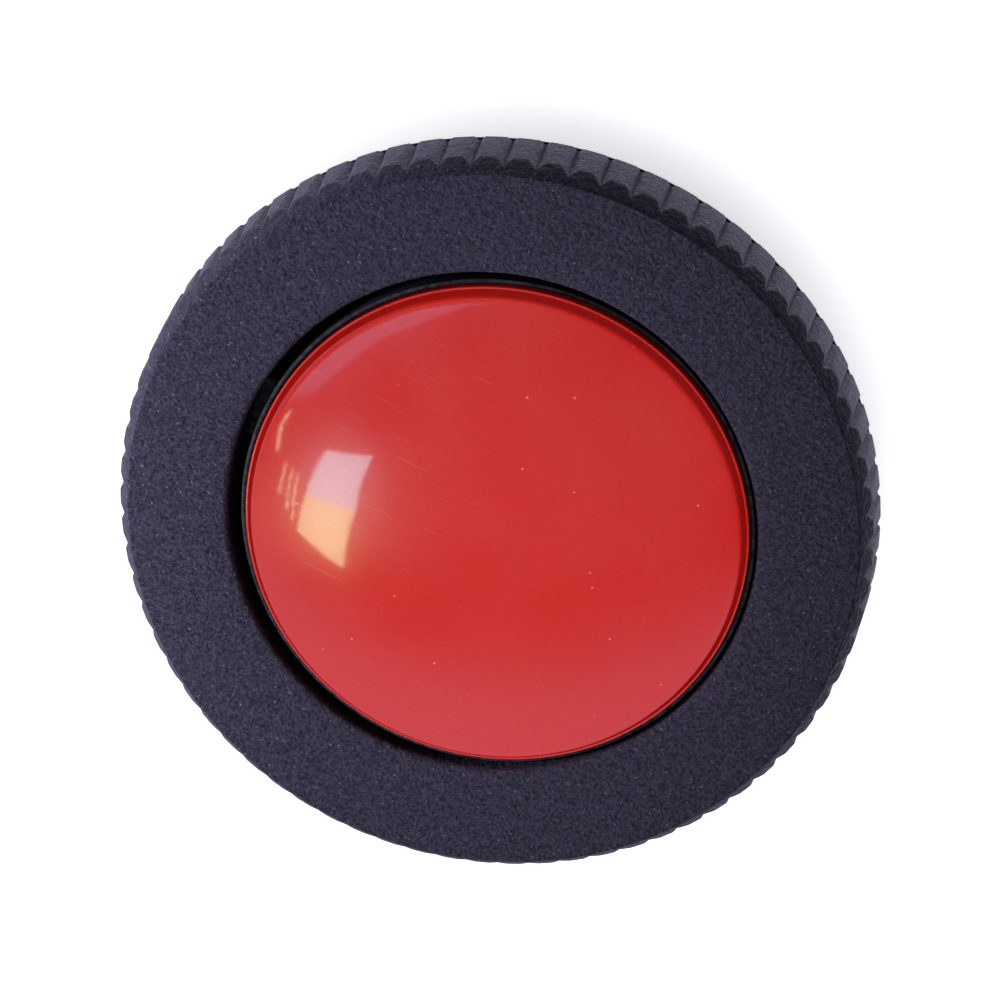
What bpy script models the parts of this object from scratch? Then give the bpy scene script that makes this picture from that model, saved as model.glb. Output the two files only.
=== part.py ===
"""Pocket quiz buzzer: a fluted ring around a sprung red dome, on a battery base with a speaker.

Frame: origin at the centre of the plane that the feet rest on, +Z up. All sizes are in metres.
The turned pieces are built from (radius, height) profiles about their own vertical axis.
"""
import math

import bmesh
import bpy

MM = 0.001

# Gaps left between pieces that touch on the real object.
GAP = 0.3 * MM
SMALL_GAP = 0.2 * MM

# Fluted ring. The lands lean in a little towards the face and the valleys lean in more, so the flutes
# are deepest at the face. A narrow round rim, just inside the lands, ends them at the bottom.
FACE_HEIGHT = 16.5 * MM
LAND_RADIUS = 30.0 * MM
LAND_TOP_RADIUS = 29.85 * MM
VALLEY_RADIUS = 29.6 * MM
VALLEY_TOP_RADIUS = 29.38 * MM
FACE_EDGE_RADIUS = 28.9 * MM
FACE_CHAMFER_DEPTH = 1.55 * MM
FLUTES = 73
LAND_SHARE = 0.46
FIRST_VALLEY = math.radians(-90.9)
RING_BOTTOM = FACE_HEIGHT - 6.67 * MM
RIM_RADIUS = 29.75 * MM
RIM_HEIGHT = 0.35 * MM
FLUTE_END_HEIGHT = 0.2 * MM
RING_INNER_RADIUS = 27.6 * MM
FACE_UNDERSIDE = FACE_HEIGHT - 1.8 * MM

# Round opening in the face, and the collar that guides the button below it.
OPENING_RADIUS = 20.9 * MM
OPENING_CHAMFER = 0.15 * MM
COLLAR_OUTER_RADIUS = 22.1 * MM
COLLAR_BOTTOM = 9.9 * MM
HOOK_NOTCH_TOP = 11.9 * MM
HOOK_NOTCH_WIDTH = 6.4 * MM

# Button. It has play in its collar and rests to one side of it.
BUTTON_SHIFT = -0.4 * MM
BUTTON_TRAVEL = 1.5 * MM
DOME_RADIUS = 19.9 * MM
DOME_EDGE_HEIGHT = FACE_HEIGHT - 0.4 * MM
DOME_RISE = 4.5 * MM
DOME_SHOULDER = 0.75 * MM
DOME_WALL = 1.6 * MM
DOME_BOTTOM = 14.7 * MM
BUTTON_SEGMENTS = 48
CARRIER_RADIUS = 20.35 * MM
CARRIER_LIP_INNER = 20.0 * MM
CARRIER_LIP_TOP = FACE_HEIGHT - 0.8 * MM
CARRIER_TOP = DOME_BOTTOM - GAP
CARRIER_PLATE = 1.2 * MM
CARRIER_SKIRT_BOTTOM = 12.2 * MM
CENTRING_RING_INNER = 16.9 * MM
CENTRING_RING_OUTER = 18.1 * MM
CENTRING_RING_HEIGHT = 1.2 * MM
SKIRT_INNER = 19.1 * MM
SPRING_RIM_INNER = 6.6 * MM
SPRING_RIM_OUTER = 7.4 * MM
SPRING_RIM_DEPTH = 0.8 * MM
LIP_ROUNDING = 0.1 * MM
PLUNGER_RADIUS = 2.2 * MM
HOOK_ANGLES = [0.0, math.pi / 2, math.pi, 3 * math.pi / 2]
HOOK_WIDTH = 5.0 * MM
HOOK_TOP = HOOK_NOTCH_TOP - GAP

# Base tray.
BASE_BOTTOM = 0.8 * MM
FLOOR_TOP = 2.6 * MM
BASE_BOTTOM_RADIUS = 25.6 * MM
BASE_TOP_RADIUS = 26.4 * MM
BASE_WALL = 1.2 * MM
BASE_CHAMFER = 0.5 * MM
FLANGE_RADIUS = RING_INNER_RADIUS - GAP
FLANGE_BOTTOM = RING_BOTTOM + 0.27 * MM
FLANGE_TOP = FLANGE_BOTTOM + 1.0 * MM

# Case screws, under rubber plugs that are the feet.
SCREW_CIRCLE = 22.8 * MM
SCREW_ANGLES = [math.radians(angle) for angle in (40, 140, 220, 320)]
TRAY_COLUMN_RADIUS = 2.7 * MM
TRAY_COLUMN_TOP = 6.7 * MM
RING_BOSS_RADIUS = 1.75 * MM
RING_BOSS_BOTTOM = TRAY_COLUMN_TOP + GAP
COUNTERBORE_RADIUS = 2.05 * MM
COUNTERBORE_TOP = 4.4 * MM
SCREW_RADIUS = 1.0 * MM
SCREW_HOLE_RADIUS = 1.15 * MM
SCREW_TIP = 11.9 * MM
PILOT_HOLE_TOP = SCREW_TIP + 0.5 * MM
SCREW_HEAD_RADIUS = 1.75 * MM
SCREW_HEAD_HEIGHT = 1.4 * MM
FOOT_RADIUS = 1.85 * MM
FOOT_TOP = 2.3 * MM

# Circuit board and the push switch in its middle.
BOARD_RADIUS = 19.4 * MM
BOARD_BOTTOM = 6.8 * MM
BOARD_TOP = 7.8 * MM
BOARD_SCREW_PLACES = [(0.0, 16.5 * MM), (0.0, -16.5 * MM)]
BOARD_POST_RADIUS = 2.2 * MM
SWITCH_SIDE = 6.0 * MM
SWITCH_BOTTOM = BOARD_TOP + SMALL_GAP
SWITCH_TOP = 9.9 * MM
STEM_RADIUS = 1.7 * MM
STEM_BOTTOM = 9.4 * MM
STEM_TOP = 10.7 * MM
STEM_WELL_BOTTOM = 9.0 * MM
STEM_TRAVEL = 0.25 * MM
PLUNGER_BOTTOM = STEM_TOP + BUTTON_TRAVEL - STEM_TRAVEL + 0.05 * MM
PART_BOTTOM = BOARD_TOP + SMALL_GAP

# Return spring, around the switch.
SPRING_RADIUS = 5.7 * MM
SPRING_WIRE = 0.3 * MM
SPRING_TURNS = 4.5
SPRING_POINTS_PER_TURN = 12

# Coin cell, its holder and the twist cap below it.
CELL_X = -11.4 * MM
CELL_RADIUS = 10.0 * MM
CELL_BOTTOM = 3.0 * MM
CELL_TOP = 6.2 * MM
HOLDER_INNER_RADIUS = 10.4 * MM
HOLDER_OUTER_RADIUS = 11.6 * MM
CAP_RADIUS = 11.0 * MM
CAP_TOP = 2.6 * MM
LUG_REACH = 12.2 * MM
LUG_WIDTH = 5.0 * MM
LUG_BOTTOM = 2.0 * MM
LUG_ANGLES = [math.radians(angle) for angle in (90, 210, 330)]
CAP_TURN = math.radians(40)
CAP_LEDGE_TOP = LUG_BOTTOM - GAP
COIN_SLOT_LENGTH = 15.0 * MM
COIN_SLOT_WIDTH = 1.8 * MM
COIN_SLOT_DEPTH = 0.9 * MM

# Speaker, facing down over the grille.
SPEAKER_X = 12.9 * MM
SPEAKER_RADIUS = 10.0 * MM
SPEAKER_BOTTOM = 3.5 * MM
SPEAKER_TOP = 6.4 * MM
FENCE_INNER_RADIUS = 10.5 * MM
FENCE_OUTER_RADIUS = 11.3 * MM
FENCE_TOP = 4.6 * MM
GRILLE_HOLE_RADIUS = 0.75 * MM
GRILLE_RINGS = [(0.0, 1), (2.8 * MM, 6), (5.6 * MM, 12)]
WIRE_RADIUS = 0.35 * MM
WIRE_ROUTE = [
    (20.6 * MM, 4.6 * MM, 4.9 * MM),
    (21.8 * MM, 5.2 * MM, 5.7 * MM),
    (22.0 * MM, 5.4 * MM, 7.0 * MM),
    (20.9 * MM, 5.4 * MM, 8.4 * MM),
    (19.4 * MM, 5.2 * MM, 8.8 * MM),
    (17.8 * MM, 5.1 * MM, 8.4 * MM),
]

BLACK_PLASTIC = (0.040, 0.037, 0.048)
STEEL = (0.55, 0.56, 0.57)


def clear_scene():
    """Removes whatever the scene holds."""
    for item in list(bpy.data.objects):
        bpy.data.objects.remove(item, do_unlink=True)


def surface(name, colour, roughness, metallic=0.0):
    """A Principled material."""
    made = bpy.data.materials.new(name)
    made.use_nodes = True
    shader = made.node_tree.nodes["Principled BSDF"]
    shader.inputs["Base Color"].default_value = (*colour, 1.0)
    shader.inputs["Roughness"].default_value = roughness
    shader.inputs["Metallic"].default_value = metallic
    return made


def finish_mesh(bm, name):
    """Turns a bmesh of closed bodies into a mesh with outward faces and smooth round sides."""
    bmesh.ops.recalc_face_normals(bm, faces=bm.faces)
    mesh = bpy.data.meshes.new(name)
    bm.to_mesh(mesh)
    bm.free()
    mesh.shade_smooth()
    mesh.set_sharp_from_angle(angle=math.radians(35))
    return mesh


def place(name, data, material=None, location=(0.0, 0.0, 0.0), parent=None):
    """Links an object of this mesh or curve at a location, under a parent if one is given."""
    item = bpy.data.objects.new(name, data)
    bpy.context.scene.collection.objects.link(item)
    item.location = location
    item.parent = parent
    if material:
        data.materials.append(material)
    return item


def axis_empty(name, location):
    """An empty on a joint's axis, which carries the pieces that move with the joint."""
    return place(name, None, location=location)


def hide_as_tool(item):
    """Marks an object as a Boolean tool and not a piece."""
    item.hide_render = True
    item.display_type = "WIRE"


def combine(target, tool, operation):
    """Adds a Boolean modifier that joins the tool to the target or cuts it away."""
    modifier = target.modifiers.new(tool.name, "BOOLEAN")
    modifier.operation = operation
    modifier.object = tool
    hide_as_tool(tool)


def skin(bm, columns, is_ring):
    """Faces the strips between neighbouring columns of vertices, all the way round."""
    for here, there in zip(columns, columns[1:] + columns[:1]):
        last = len(here) if is_ring else len(here) - 1
        for index in range(last):
            after = (index + 1) % len(here)
            corners = [here[index], there[index], there[after], here[after]]
            corners = list(dict.fromkeys(corners))
            if len(corners) > 2:
                bm.faces.new(corners)


def add_turned(bm, profile, segments, centre=(0.0, 0.0)):
    """Adds the body turned from a profile of (radius, height) points.

    A profile that starts and ends at radius 0 gives a solid; one that stays off the axis gives a ring.
    A flat end of a solid is one round face.
    """
    is_ring = profile[0][0] > 0.0
    flat_start = not is_ring and profile[0][1] == profile[1][1]
    flat_end = not is_ring and profile[-1][1] == profile[-2][1]
    if flat_start:
        profile = profile[1:]
    if flat_end:
        profile = profile[:-1]
    on_axis = {}
    for radius, height in profile:
        if radius == 0.0:
            on_axis[height] = bm.verts.new((centre[0], centre[1], height))
    columns = []
    for step in range(segments):
        angle = 2 * math.pi * step / segments
        column = []
        for radius, height in profile:
            if radius == 0.0:
                column.append(on_axis[height])
            else:
                x = centre[0] + radius * math.cos(angle)
                y = centre[1] + radius * math.sin(angle)
                column.append(bm.verts.new((x, y, height)))
        columns.append(column)
    skin(bm, columns, is_ring)
    if flat_start:
        bm.faces.new([column[0] for column in columns])
    if flat_end:
        bm.faces.new([column[-1] for column in columns])


def add_cylinder(bm, radius, bottom, top, segments, centre=(0.0, 0.0)):
    """Adds a plain upright cylinder."""
    add_turned(bm, [(0.0, bottom), (radius, bottom), (radius, top), (0.0, top)], segments, centre)


def add_extruded(bm, outline, half_width, angle=0.0):
    """Adds an outline of (outward, height) points, given thickness across and turned to an angle about Z."""
    cosine = math.cos(angle)
    sine = math.sin(angle)
    sides = []
    for across in (-half_width, half_width):
        side = []
        for out, height in outline:
            side.append(bm.verts.new((out * cosine - across * sine, out * sine + across * cosine, height)))
        sides.append(side)
    bm.faces.new(sides[0])
    bm.faces.new(sides[1])
    for index in range(len(outline)):
        after = (index + 1) % len(outline)
        bm.faces.new([sides[0][index], sides[0][after], sides[1][after], sides[1][index]])


def add_block(bm, inner, outer, half_width, bottom, top, angle=0.0):
    """Adds a box that reaches outward from inner to outer at an angle about Z."""
    outline = [(inner, bottom), (outer, bottom), (outer, top), (inner, top)]
    add_extruded(bm, outline, half_width, angle)


def turned(name, profile, segments, material, location=(0.0, 0.0, 0.0), parent=None):
    """A turned piece as an object."""
    bm = bmesh.new()
    add_turned(bm, profile, segments)
    return place(name, finish_mesh(bm, name), material, location, parent)


def around(circle, angle):
    """The point of a circle about the Z axis at an angle."""
    return circle * math.cos(angle), circle * math.sin(angle)


def flute_stations():
    """(angle, top radius, bottom radius) of each valley and of the two edges of the land after it."""
    pitch = 2 * math.pi / FLUTES
    slope = (1.0 - LAND_SHARE) / 2
    stations = []
    for flute in range(FLUTES):
        valley = FIRST_VALLEY + flute * pitch
        stations.append((valley, VALLEY_TOP_RADIUS, VALLEY_RADIUS))
        stations.append((valley + slope * pitch, LAND_TOP_RADIUS, LAND_RADIUS))
        stations.append((valley + (1.0 - slope) * pitch, LAND_TOP_RADIUS, LAND_RADIUS))
    return stations


def ring_profile(top_radius, bottom_radius):
    """Section of the ring whose wall goes from top_radius, on the chamfer, to bottom_radius, on the rim."""
    chamfer_slope = FACE_CHAMFER_DEPTH / (LAND_TOP_RADIUS - FACE_EDGE_RADIUS)
    wall_top = FACE_HEIGHT - (top_radius - FACE_EDGE_RADIUS) * chamfer_slope
    return [
        (OPENING_RADIUS, FACE_HEIGHT - OPENING_CHAMFER),
        (OPENING_RADIUS + OPENING_CHAMFER, FACE_HEIGHT),
        (FACE_EDGE_RADIUS, FACE_HEIGHT),
        (top_radius, wall_top),
        (bottom_radius, RING_BOTTOM + RIM_HEIGHT + FLUTE_END_HEIGHT),
        (RIM_RADIUS, RING_BOTTOM + RIM_HEIGHT),
        (RIM_RADIUS, RING_BOTTOM),
        (RING_INNER_RADIUS, RING_BOTTOM),
        (RING_INNER_RADIUS, FACE_UNDERSIDE),
        (COLLAR_OUTER_RADIUS, FACE_UNDERSIDE),
        (COLLAR_OUTER_RADIUS, COLLAR_BOTTOM),
        (OPENING_RADIUS, COLLAR_BOTTOM),
    ]


def add_column(bm, angle, profile):
    """Adds the vertices of a section at an angle about Z. Points that coincide share one vertex."""
    placed = {}
    for radius, height in profile:
        if (radius, height) not in placed:
            x, y = around(radius, angle)
            placed[radius, height] = bm.verts.new((x, y, height))
    return [placed[point] for point in profile]


def build_ring():
    """The fluted top shell, with its screw bosses and the notches that key the button's hooks."""
    bm = bmesh.new()
    columns = []
    for angle, top_radius, bottom_radius in flute_stations():
        columns.append(add_column(bm, angle, ring_profile(top_radius, bottom_radius)))
    skin(bm, columns, is_ring=True)
    material = surface("bezel_black", BLACK_PLASTIC, 0.62)
    ring = place("bezel_ring", finish_mesh(bm, "bezel_ring"), material)

    bosses = bmesh.new()
    holes = bmesh.new()
    for angle in SCREW_ANGLES:
        centre = around(SCREW_CIRCLE, angle)
        add_cylinder(bosses, RING_BOSS_RADIUS, RING_BOSS_BOTTOM, FACE_UNDERSIDE + 0.5 * MM, 16, centre)
        add_cylinder(holes, SCREW_HOLE_RADIUS, RING_BOSS_BOTTOM - 1.0 * MM, PILOT_HOLE_TOP, 12, centre)
    for angle in HOOK_ANGLES:
        add_block(holes, OPENING_RADIUS - 1.0 * MM, COLLAR_OUTER_RADIUS + 0.6 * MM, HOOK_NOTCH_WIDTH / 2,
                  COLLAR_BOTTOM - 1.0 * MM, HOOK_NOTCH_TOP, angle)
    combine(ring, place("ring_bosses", finish_mesh(bosses, "ring_bosses")), "UNION")
    combine(ring, place("ring_cuts", finish_mesh(holes, "ring_cuts")), "DIFFERENCE")


def dome_profile():
    """Section of the dome: a spherical crown that rolls over a small shoulder into a short upright rim."""
    shoulder_centre = DOME_RADIUS - DOME_SHOULDER
    crown_radius = (shoulder_centre ** 2 + DOME_RISE ** 2 - DOME_SHOULDER ** 2)
    crown_radius /= 2 * (DOME_RISE - DOME_SHOULDER)
    crown_centre = DOME_EDGE_HEIGHT + DOME_RISE - crown_radius
    tilt = math.atan2(shoulder_centre, DOME_EDGE_HEIGHT - crown_centre)
    profile = [(0.0, crown_centre + crown_radius)]
    for step in range(1, 7):
        angle = tilt * step / 6
        profile.append((crown_radius * math.sin(angle), crown_centre + crown_radius * math.cos(angle)))
    for step in range(1, 4):
        angle = tilt + (math.pi / 2 - tilt) * step / 3
        radius = shoulder_centre + DOME_SHOULDER * math.sin(angle)
        profile.append((radius, DOME_EDGE_HEIGHT + DOME_SHOULDER * math.cos(angle)))
    profile.append((DOME_RADIUS, DOME_BOTTOM))
    inner_radius = crown_radius - DOME_WALL
    inner_edge = DOME_RADIUS - DOME_WALL
    profile.append((inner_edge, DOME_BOTTOM))
    for step in range(4, 0, -1):
        radius = inner_edge * step / 4
        profile.append((radius, crown_centre + math.sqrt(inner_radius ** 2 - radius ** 2)))
    profile.append((0.0, crown_centre + inner_radius))
    return profile


def carrier_profile():
    """Section of the carrier: plate, centring ring, lip around the dome, skirt, spring rim, plunger."""
    plate_bottom = CARRIER_TOP - CARRIER_PLATE
    return [
        (0.0, CARRIER_TOP),
        (CENTRING_RING_INNER, CARRIER_TOP),
        (CENTRING_RING_INNER, CARRIER_TOP + CENTRING_RING_HEIGHT),
        (CENTRING_RING_OUTER, CARRIER_TOP + CENTRING_RING_HEIGHT),
        (CENTRING_RING_OUTER, CARRIER_TOP),
        (CARRIER_LIP_INNER, CARRIER_TOP),
        (CARRIER_LIP_INNER, CARRIER_LIP_TOP - LIP_ROUNDING),
        (CARRIER_LIP_INNER + LIP_ROUNDING, CARRIER_LIP_TOP),
        (CARRIER_RADIUS - LIP_ROUNDING, CARRIER_LIP_TOP),
        (CARRIER_RADIUS, CARRIER_LIP_TOP - LIP_ROUNDING),
        (CARRIER_RADIUS, CARRIER_SKIRT_BOTTOM),
        (SKIRT_INNER, CARRIER_SKIRT_BOTTOM),
        (SKIRT_INNER, plate_bottom),
        (SPRING_RIM_OUTER, plate_bottom),
        (SPRING_RIM_OUTER, plate_bottom - SPRING_RIM_DEPTH),
        (SPRING_RIM_INNER, plate_bottom - SPRING_RIM_DEPTH),
        (SPRING_RIM_INNER, plate_bottom),
        (PLUNGER_RADIUS, plate_bottom),
        (PLUNGER_RADIUS, PLUNGER_BOTTOM),
        (0.0, PLUNGER_BOTTOM),
    ]


def build_button():
    """The red dome and the black carrier below it, whose hooks catch under the collar."""
    axis = axis_empty("button_axis", (BUTTON_SHIFT, 0.0, 0.0))
    red = surface("dome_red", (0.60, 0.012, 0.010), 0.12)
    turned("button_dome", dome_profile(), BUTTON_SEGMENTS, red, parent=axis)
    black = surface("carrier_black", (0.012, 0.012, 0.014), 0.3)
    carrier = turned("button_carrier", carrier_profile(), BUTTON_SEGMENTS, black, parent=axis)
    hooks = bmesh.new()
    outline = [
        (19.3 * MM, CARRIER_SKIRT_BOTTOM + 0.6 * MM),
        (20.1 * MM, CARRIER_SKIRT_BOTTOM + 0.6 * MM),
        (20.1 * MM, HOOK_TOP),
        (21.6 * MM, HOOK_TOP),
        (21.6 * MM, HOOK_TOP - 0.4 * MM),
        (20.5 * MM, HOOK_TOP - 1.1 * MM),
        (19.3 * MM, HOOK_TOP - 1.1 * MM),
    ]
    for angle in HOOK_ANGLES:
        add_extruded(hooks, outline, HOOK_WIDTH / 2, angle)
    combine(carrier, place("carrier_hooks", finish_mesh(hooks, "carrier_hooks"), parent=axis), "UNION")


def build_spring():
    """The coil spring that lifts the button, standing on the board around the switch."""
    bottom = BOARD_TOP + SMALL_GAP + SPRING_WIRE
    top = CARRIER_TOP - CARRIER_PLATE - SMALL_GAP - SPRING_WIRE
    steps = int(SPRING_TURNS * SPRING_POINTS_PER_TURN)
    points = []
    for step in range(steps + 1):
        x, y = around(SPRING_RADIUS, 2 * math.pi * step / SPRING_POINTS_PER_TURN)
        points.append((x, y, bottom + (top - bottom) * step / steps))
    tube("return_spring", points, SPRING_WIRE, 1, surface("spring_steel", STEEL, 0.3, 1.0))


def tube(name, points, radius, resolution, material):
    """A round tube with closed ends along a line of points."""
    curve = bpy.data.curves.new(name, "CURVE")
    curve.dimensions = "3D"
    curve.bevel_depth = radius
    curve.bevel_resolution = resolution
    curve.use_fill_caps = True
    spline = curve.splines.new("POLY")
    spline.points.add(len(points) - 1)
    for target, point in zip(spline.points, points):
        target.co = (*point, 1.0)
    return place(name, curve, material)


def tray_profile():
    """Section of the tray: floor, slightly flared wall and the flange that closes the ring from below."""
    inner_bottom = BASE_BOTTOM_RADIUS - BASE_WALL
    inner_top = BASE_TOP_RADIUS - BASE_WALL
    return [
        (0.0, BASE_BOTTOM),
        (BASE_BOTTOM_RADIUS - BASE_CHAMFER, BASE_BOTTOM),
        (BASE_BOTTOM_RADIUS, BASE_BOTTOM + BASE_CHAMFER),
        (BASE_TOP_RADIUS, FLANGE_BOTTOM),
        (FLANGE_RADIUS, FLANGE_BOTTOM),
        (FLANGE_RADIUS, FLANGE_TOP),
        (inner_top, FLANGE_TOP),
        (inner_bottom, FLOOR_TOP),
        (0.0, FLOOR_TOP),
    ]


def tray_additions():
    """Screw columns, board posts and the fence around the speaker."""
    bm = bmesh.new()
    for angle in SCREW_ANGLES:
        centre = around(SCREW_CIRCLE, angle)
        add_cylinder(bm, TRAY_COLUMN_RADIUS, BASE_BOTTOM + 0.8 * MM, TRAY_COLUMN_TOP, 16, centre)
    for centre in BOARD_SCREW_PLACES:
        add_cylinder(bm, BOARD_POST_RADIUS, FLOOR_TOP - 0.5 * MM, BOARD_BOTTOM - GAP, 16, centre)
    fence_bottom = FLOOR_TOP - 0.4 * MM
    fence = [
        (FENCE_INNER_RADIUS, fence_bottom),
        (FENCE_OUTER_RADIUS, fence_bottom),
        (FENCE_OUTER_RADIUS, FENCE_TOP),
        (FENCE_INNER_RADIUS, FENCE_TOP),
    ]
    add_turned(bm, fence, 32, (SPEAKER_X, 0.0))
    return bm


def tray_screw_cuts():
    """Stepped screw holes from below, and the pilot holes in the board posts."""
    bm = bmesh.new()
    hole = [
        (0.0, BASE_BOTTOM - 1.0 * MM),
        (COUNTERBORE_RADIUS, BASE_BOTTOM - 1.0 * MM),
        (COUNTERBORE_RADIUS, COUNTERBORE_TOP),
        (SCREW_HOLE_RADIUS, COUNTERBORE_TOP),
        (SCREW_HOLE_RADIUS, TRAY_COLUMN_TOP + 1.0 * MM),
        (0.0, TRAY_COLUMN_TOP + 1.0 * MM),
    ]
    for angle in SCREW_ANGLES:
        add_turned(bm, hole, 16, around(SCREW_CIRCLE, angle))
    for centre in BOARD_SCREW_PLACES:
        add_cylinder(bm, SCREW_HOLE_RADIUS, 3.6 * MM, BOARD_BOTTOM, 12, centre)
    return bm


def tray_grille_cuts():
    """The rings of round holes below the speaker."""
    bm = bmesh.new()
    for ring_radius, count in GRILLE_RINGS:
        for index in range(count):
            x, y = around(ring_radius, 2 * math.pi * index / count)
            centre = (SPEAKER_X + x, y)
            add_cylinder(bm, GRILLE_HOLE_RADIUS, BASE_BOTTOM - 0.5 * MM, FLOOR_TOP + 0.5 * MM, 8, centre)
    return bm


def tray_cap_cuts():
    """The stepped round hole for the twist cap, in the cap's own frame."""
    bm = bmesh.new()
    hole = [
        (0.0, BASE_BOTTOM - 0.5 * MM),
        (CAP_RADIUS + GAP, BASE_BOTTOM - 0.5 * MM),
        (CAP_RADIUS + GAP, CAP_LEDGE_TOP),
        (LUG_REACH + 0.5 * MM, CAP_LEDGE_TOP),
        (LUG_REACH + 0.5 * MM, FLOOR_TOP + 0.5 * MM),
        (0.0, FLOOR_TOP + 0.5 * MM),
    ]
    add_turned(bm, hole, 40)
    return bm


def tray_notch_cuts():
    """The notches that let the cap's lugs through once it has been turned, in the cap's own frame."""
    bm = bmesh.new()
    for angle in LUG_ANGLES:
        add_block(bm, CAP_RADIUS - 0.5 * MM, LUG_REACH + 0.1 * MM, LUG_WIDTH / 2 + GAP,
                  BASE_BOTTOM - 0.5 * MM, CAP_LEDGE_TOP + 0.1 * MM, angle - CAP_TURN)
    return bm


def build_tray():
    """The base tray with everything moulded into it."""
    tray = turned("base_tray", tray_profile(), 56, surface("tray_black", BLACK_PLASTIC, 0.6))
    centre = (0.0, 0.0, 0.0)
    below_cell = (CELL_X, 0.0, 0.0)
    steps = [
        ("tray_additions", tray_additions(), centre, "UNION"),
        ("tray_screw_cuts", tray_screw_cuts(), centre, "DIFFERENCE"),
        ("tray_grille_cuts", tray_grille_cuts(), centre, "DIFFERENCE"),
        ("tray_cap_cuts", tray_cap_cuts(), below_cell, "DIFFERENCE"),
        ("tray_notch_cuts", tray_notch_cuts(), below_cell, "DIFFERENCE"),
    ]
    for name, bm, location, operation in steps:
        combine(tray, place(name, finish_mesh(bm, name), location=location), operation)


def build_battery_cap():
    """The twist cap below the cell: a disc with a coin slot and three lugs that lock above a ledge."""
    axis = axis_empty("battery_cap_axis", (CELL_X, 0.0, 0.0))
    profile = [
        (0.0, BASE_BOTTOM),
        (CAP_RADIUS - 0.3 * MM, BASE_BOTTOM),
        (CAP_RADIUS, BASE_BOTTOM + 0.3 * MM),
        (CAP_RADIUS, CAP_TOP),
        (0.0, CAP_TOP),
    ]
    cap = turned("battery_cap", profile, 40, surface("cap_black", BLACK_PLASTIC, 0.5), parent=axis)
    lugs = bmesh.new()
    for angle in LUG_ANGLES:
        add_block(lugs, CAP_RADIUS - 1.5 * MM, LUG_REACH, LUG_WIDTH / 2,
                  LUG_BOTTOM, CAP_TOP - 0.05 * MM, angle)
    combine(cap, place("cap_lugs", finish_mesh(lugs, "cap_lugs"), parent=axis), "UNION")
    slot = bmesh.new()
    add_block(slot, -COIN_SLOT_LENGTH / 2, COIN_SLOT_LENGTH / 2, COIN_SLOT_WIDTH / 2,
              BASE_BOTTOM - 0.5 * MM, BASE_BOTTOM + COIN_SLOT_DEPTH)
    combine(cap, place("cap_slot", finish_mesh(slot, "cap_slot"), parent=axis), "DIFFERENCE")


def screw_profile(head_low, head_high, tip, shaft_radius):
    """Section of a pan-head screw. The recess is in the head's outer face and the tip is a blunt point."""
    away = 1.0 if tip > head_low else -1.0
    outer = head_low if away > 0 else head_high
    inner = head_high if away > 0 else head_low
    return [
        (0.0, outer + away * 0.7 * MM),
        (0.8 * MM, outer),
        (SCREW_HEAD_RADIUS - 0.4 * MM, outer),
        (SCREW_HEAD_RADIUS, outer + away * 0.5 * MM),
        (SCREW_HEAD_RADIUS, inner),
        (shaft_radius, inner),
        (shaft_radius, tip - away * 0.8 * MM),
        (0.0, tip),
    ]


def build_screws_and_feet():
    """Four case screws with a rubber plug foot under each, and the two board screws."""
    screw_steel = surface("screw_steel", STEEL, 0.35, 1.0)
    rubber = surface("foot_rubber", (0.03, 0.03, 0.032), 0.85)
    head_high = COUNTERBORE_TOP - GAP
    case_profile = screw_profile(head_high - SCREW_HEAD_HEIGHT, head_high, SCREW_TIP, SCREW_RADIUS)
    foot_profile = [
        (0.0, 0.0),
        (FOOT_RADIUS - 0.3 * MM, 0.0),
        (FOOT_RADIUS, 0.3 * MM),
        (FOOT_RADIUS, FOOT_TOP),
        (0.0, FOOT_TOP),
    ]
    for number, angle in enumerate(SCREW_ANGLES, start=1):
        x, y = around(SCREW_CIRCLE, angle)
        turned(f"case_screw_{number}", case_profile, 10, screw_steel, (x, y, 0.0))
        turned(f"rubber_foot_{number}", foot_profile, 16, rubber, (x, y, 0.0))
    board_head = BOARD_TOP + SMALL_GAP
    board_profile = screw_profile(board_head, board_head + SCREW_HEAD_HEIGHT, 4.0 * MM, 0.9 * MM)
    for number, (x, y) in enumerate(BOARD_SCREW_PLACES, start=1):
        turned(f"board_screw_{number}", board_profile, 10, screw_steel, (x, y, 0.0))


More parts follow.
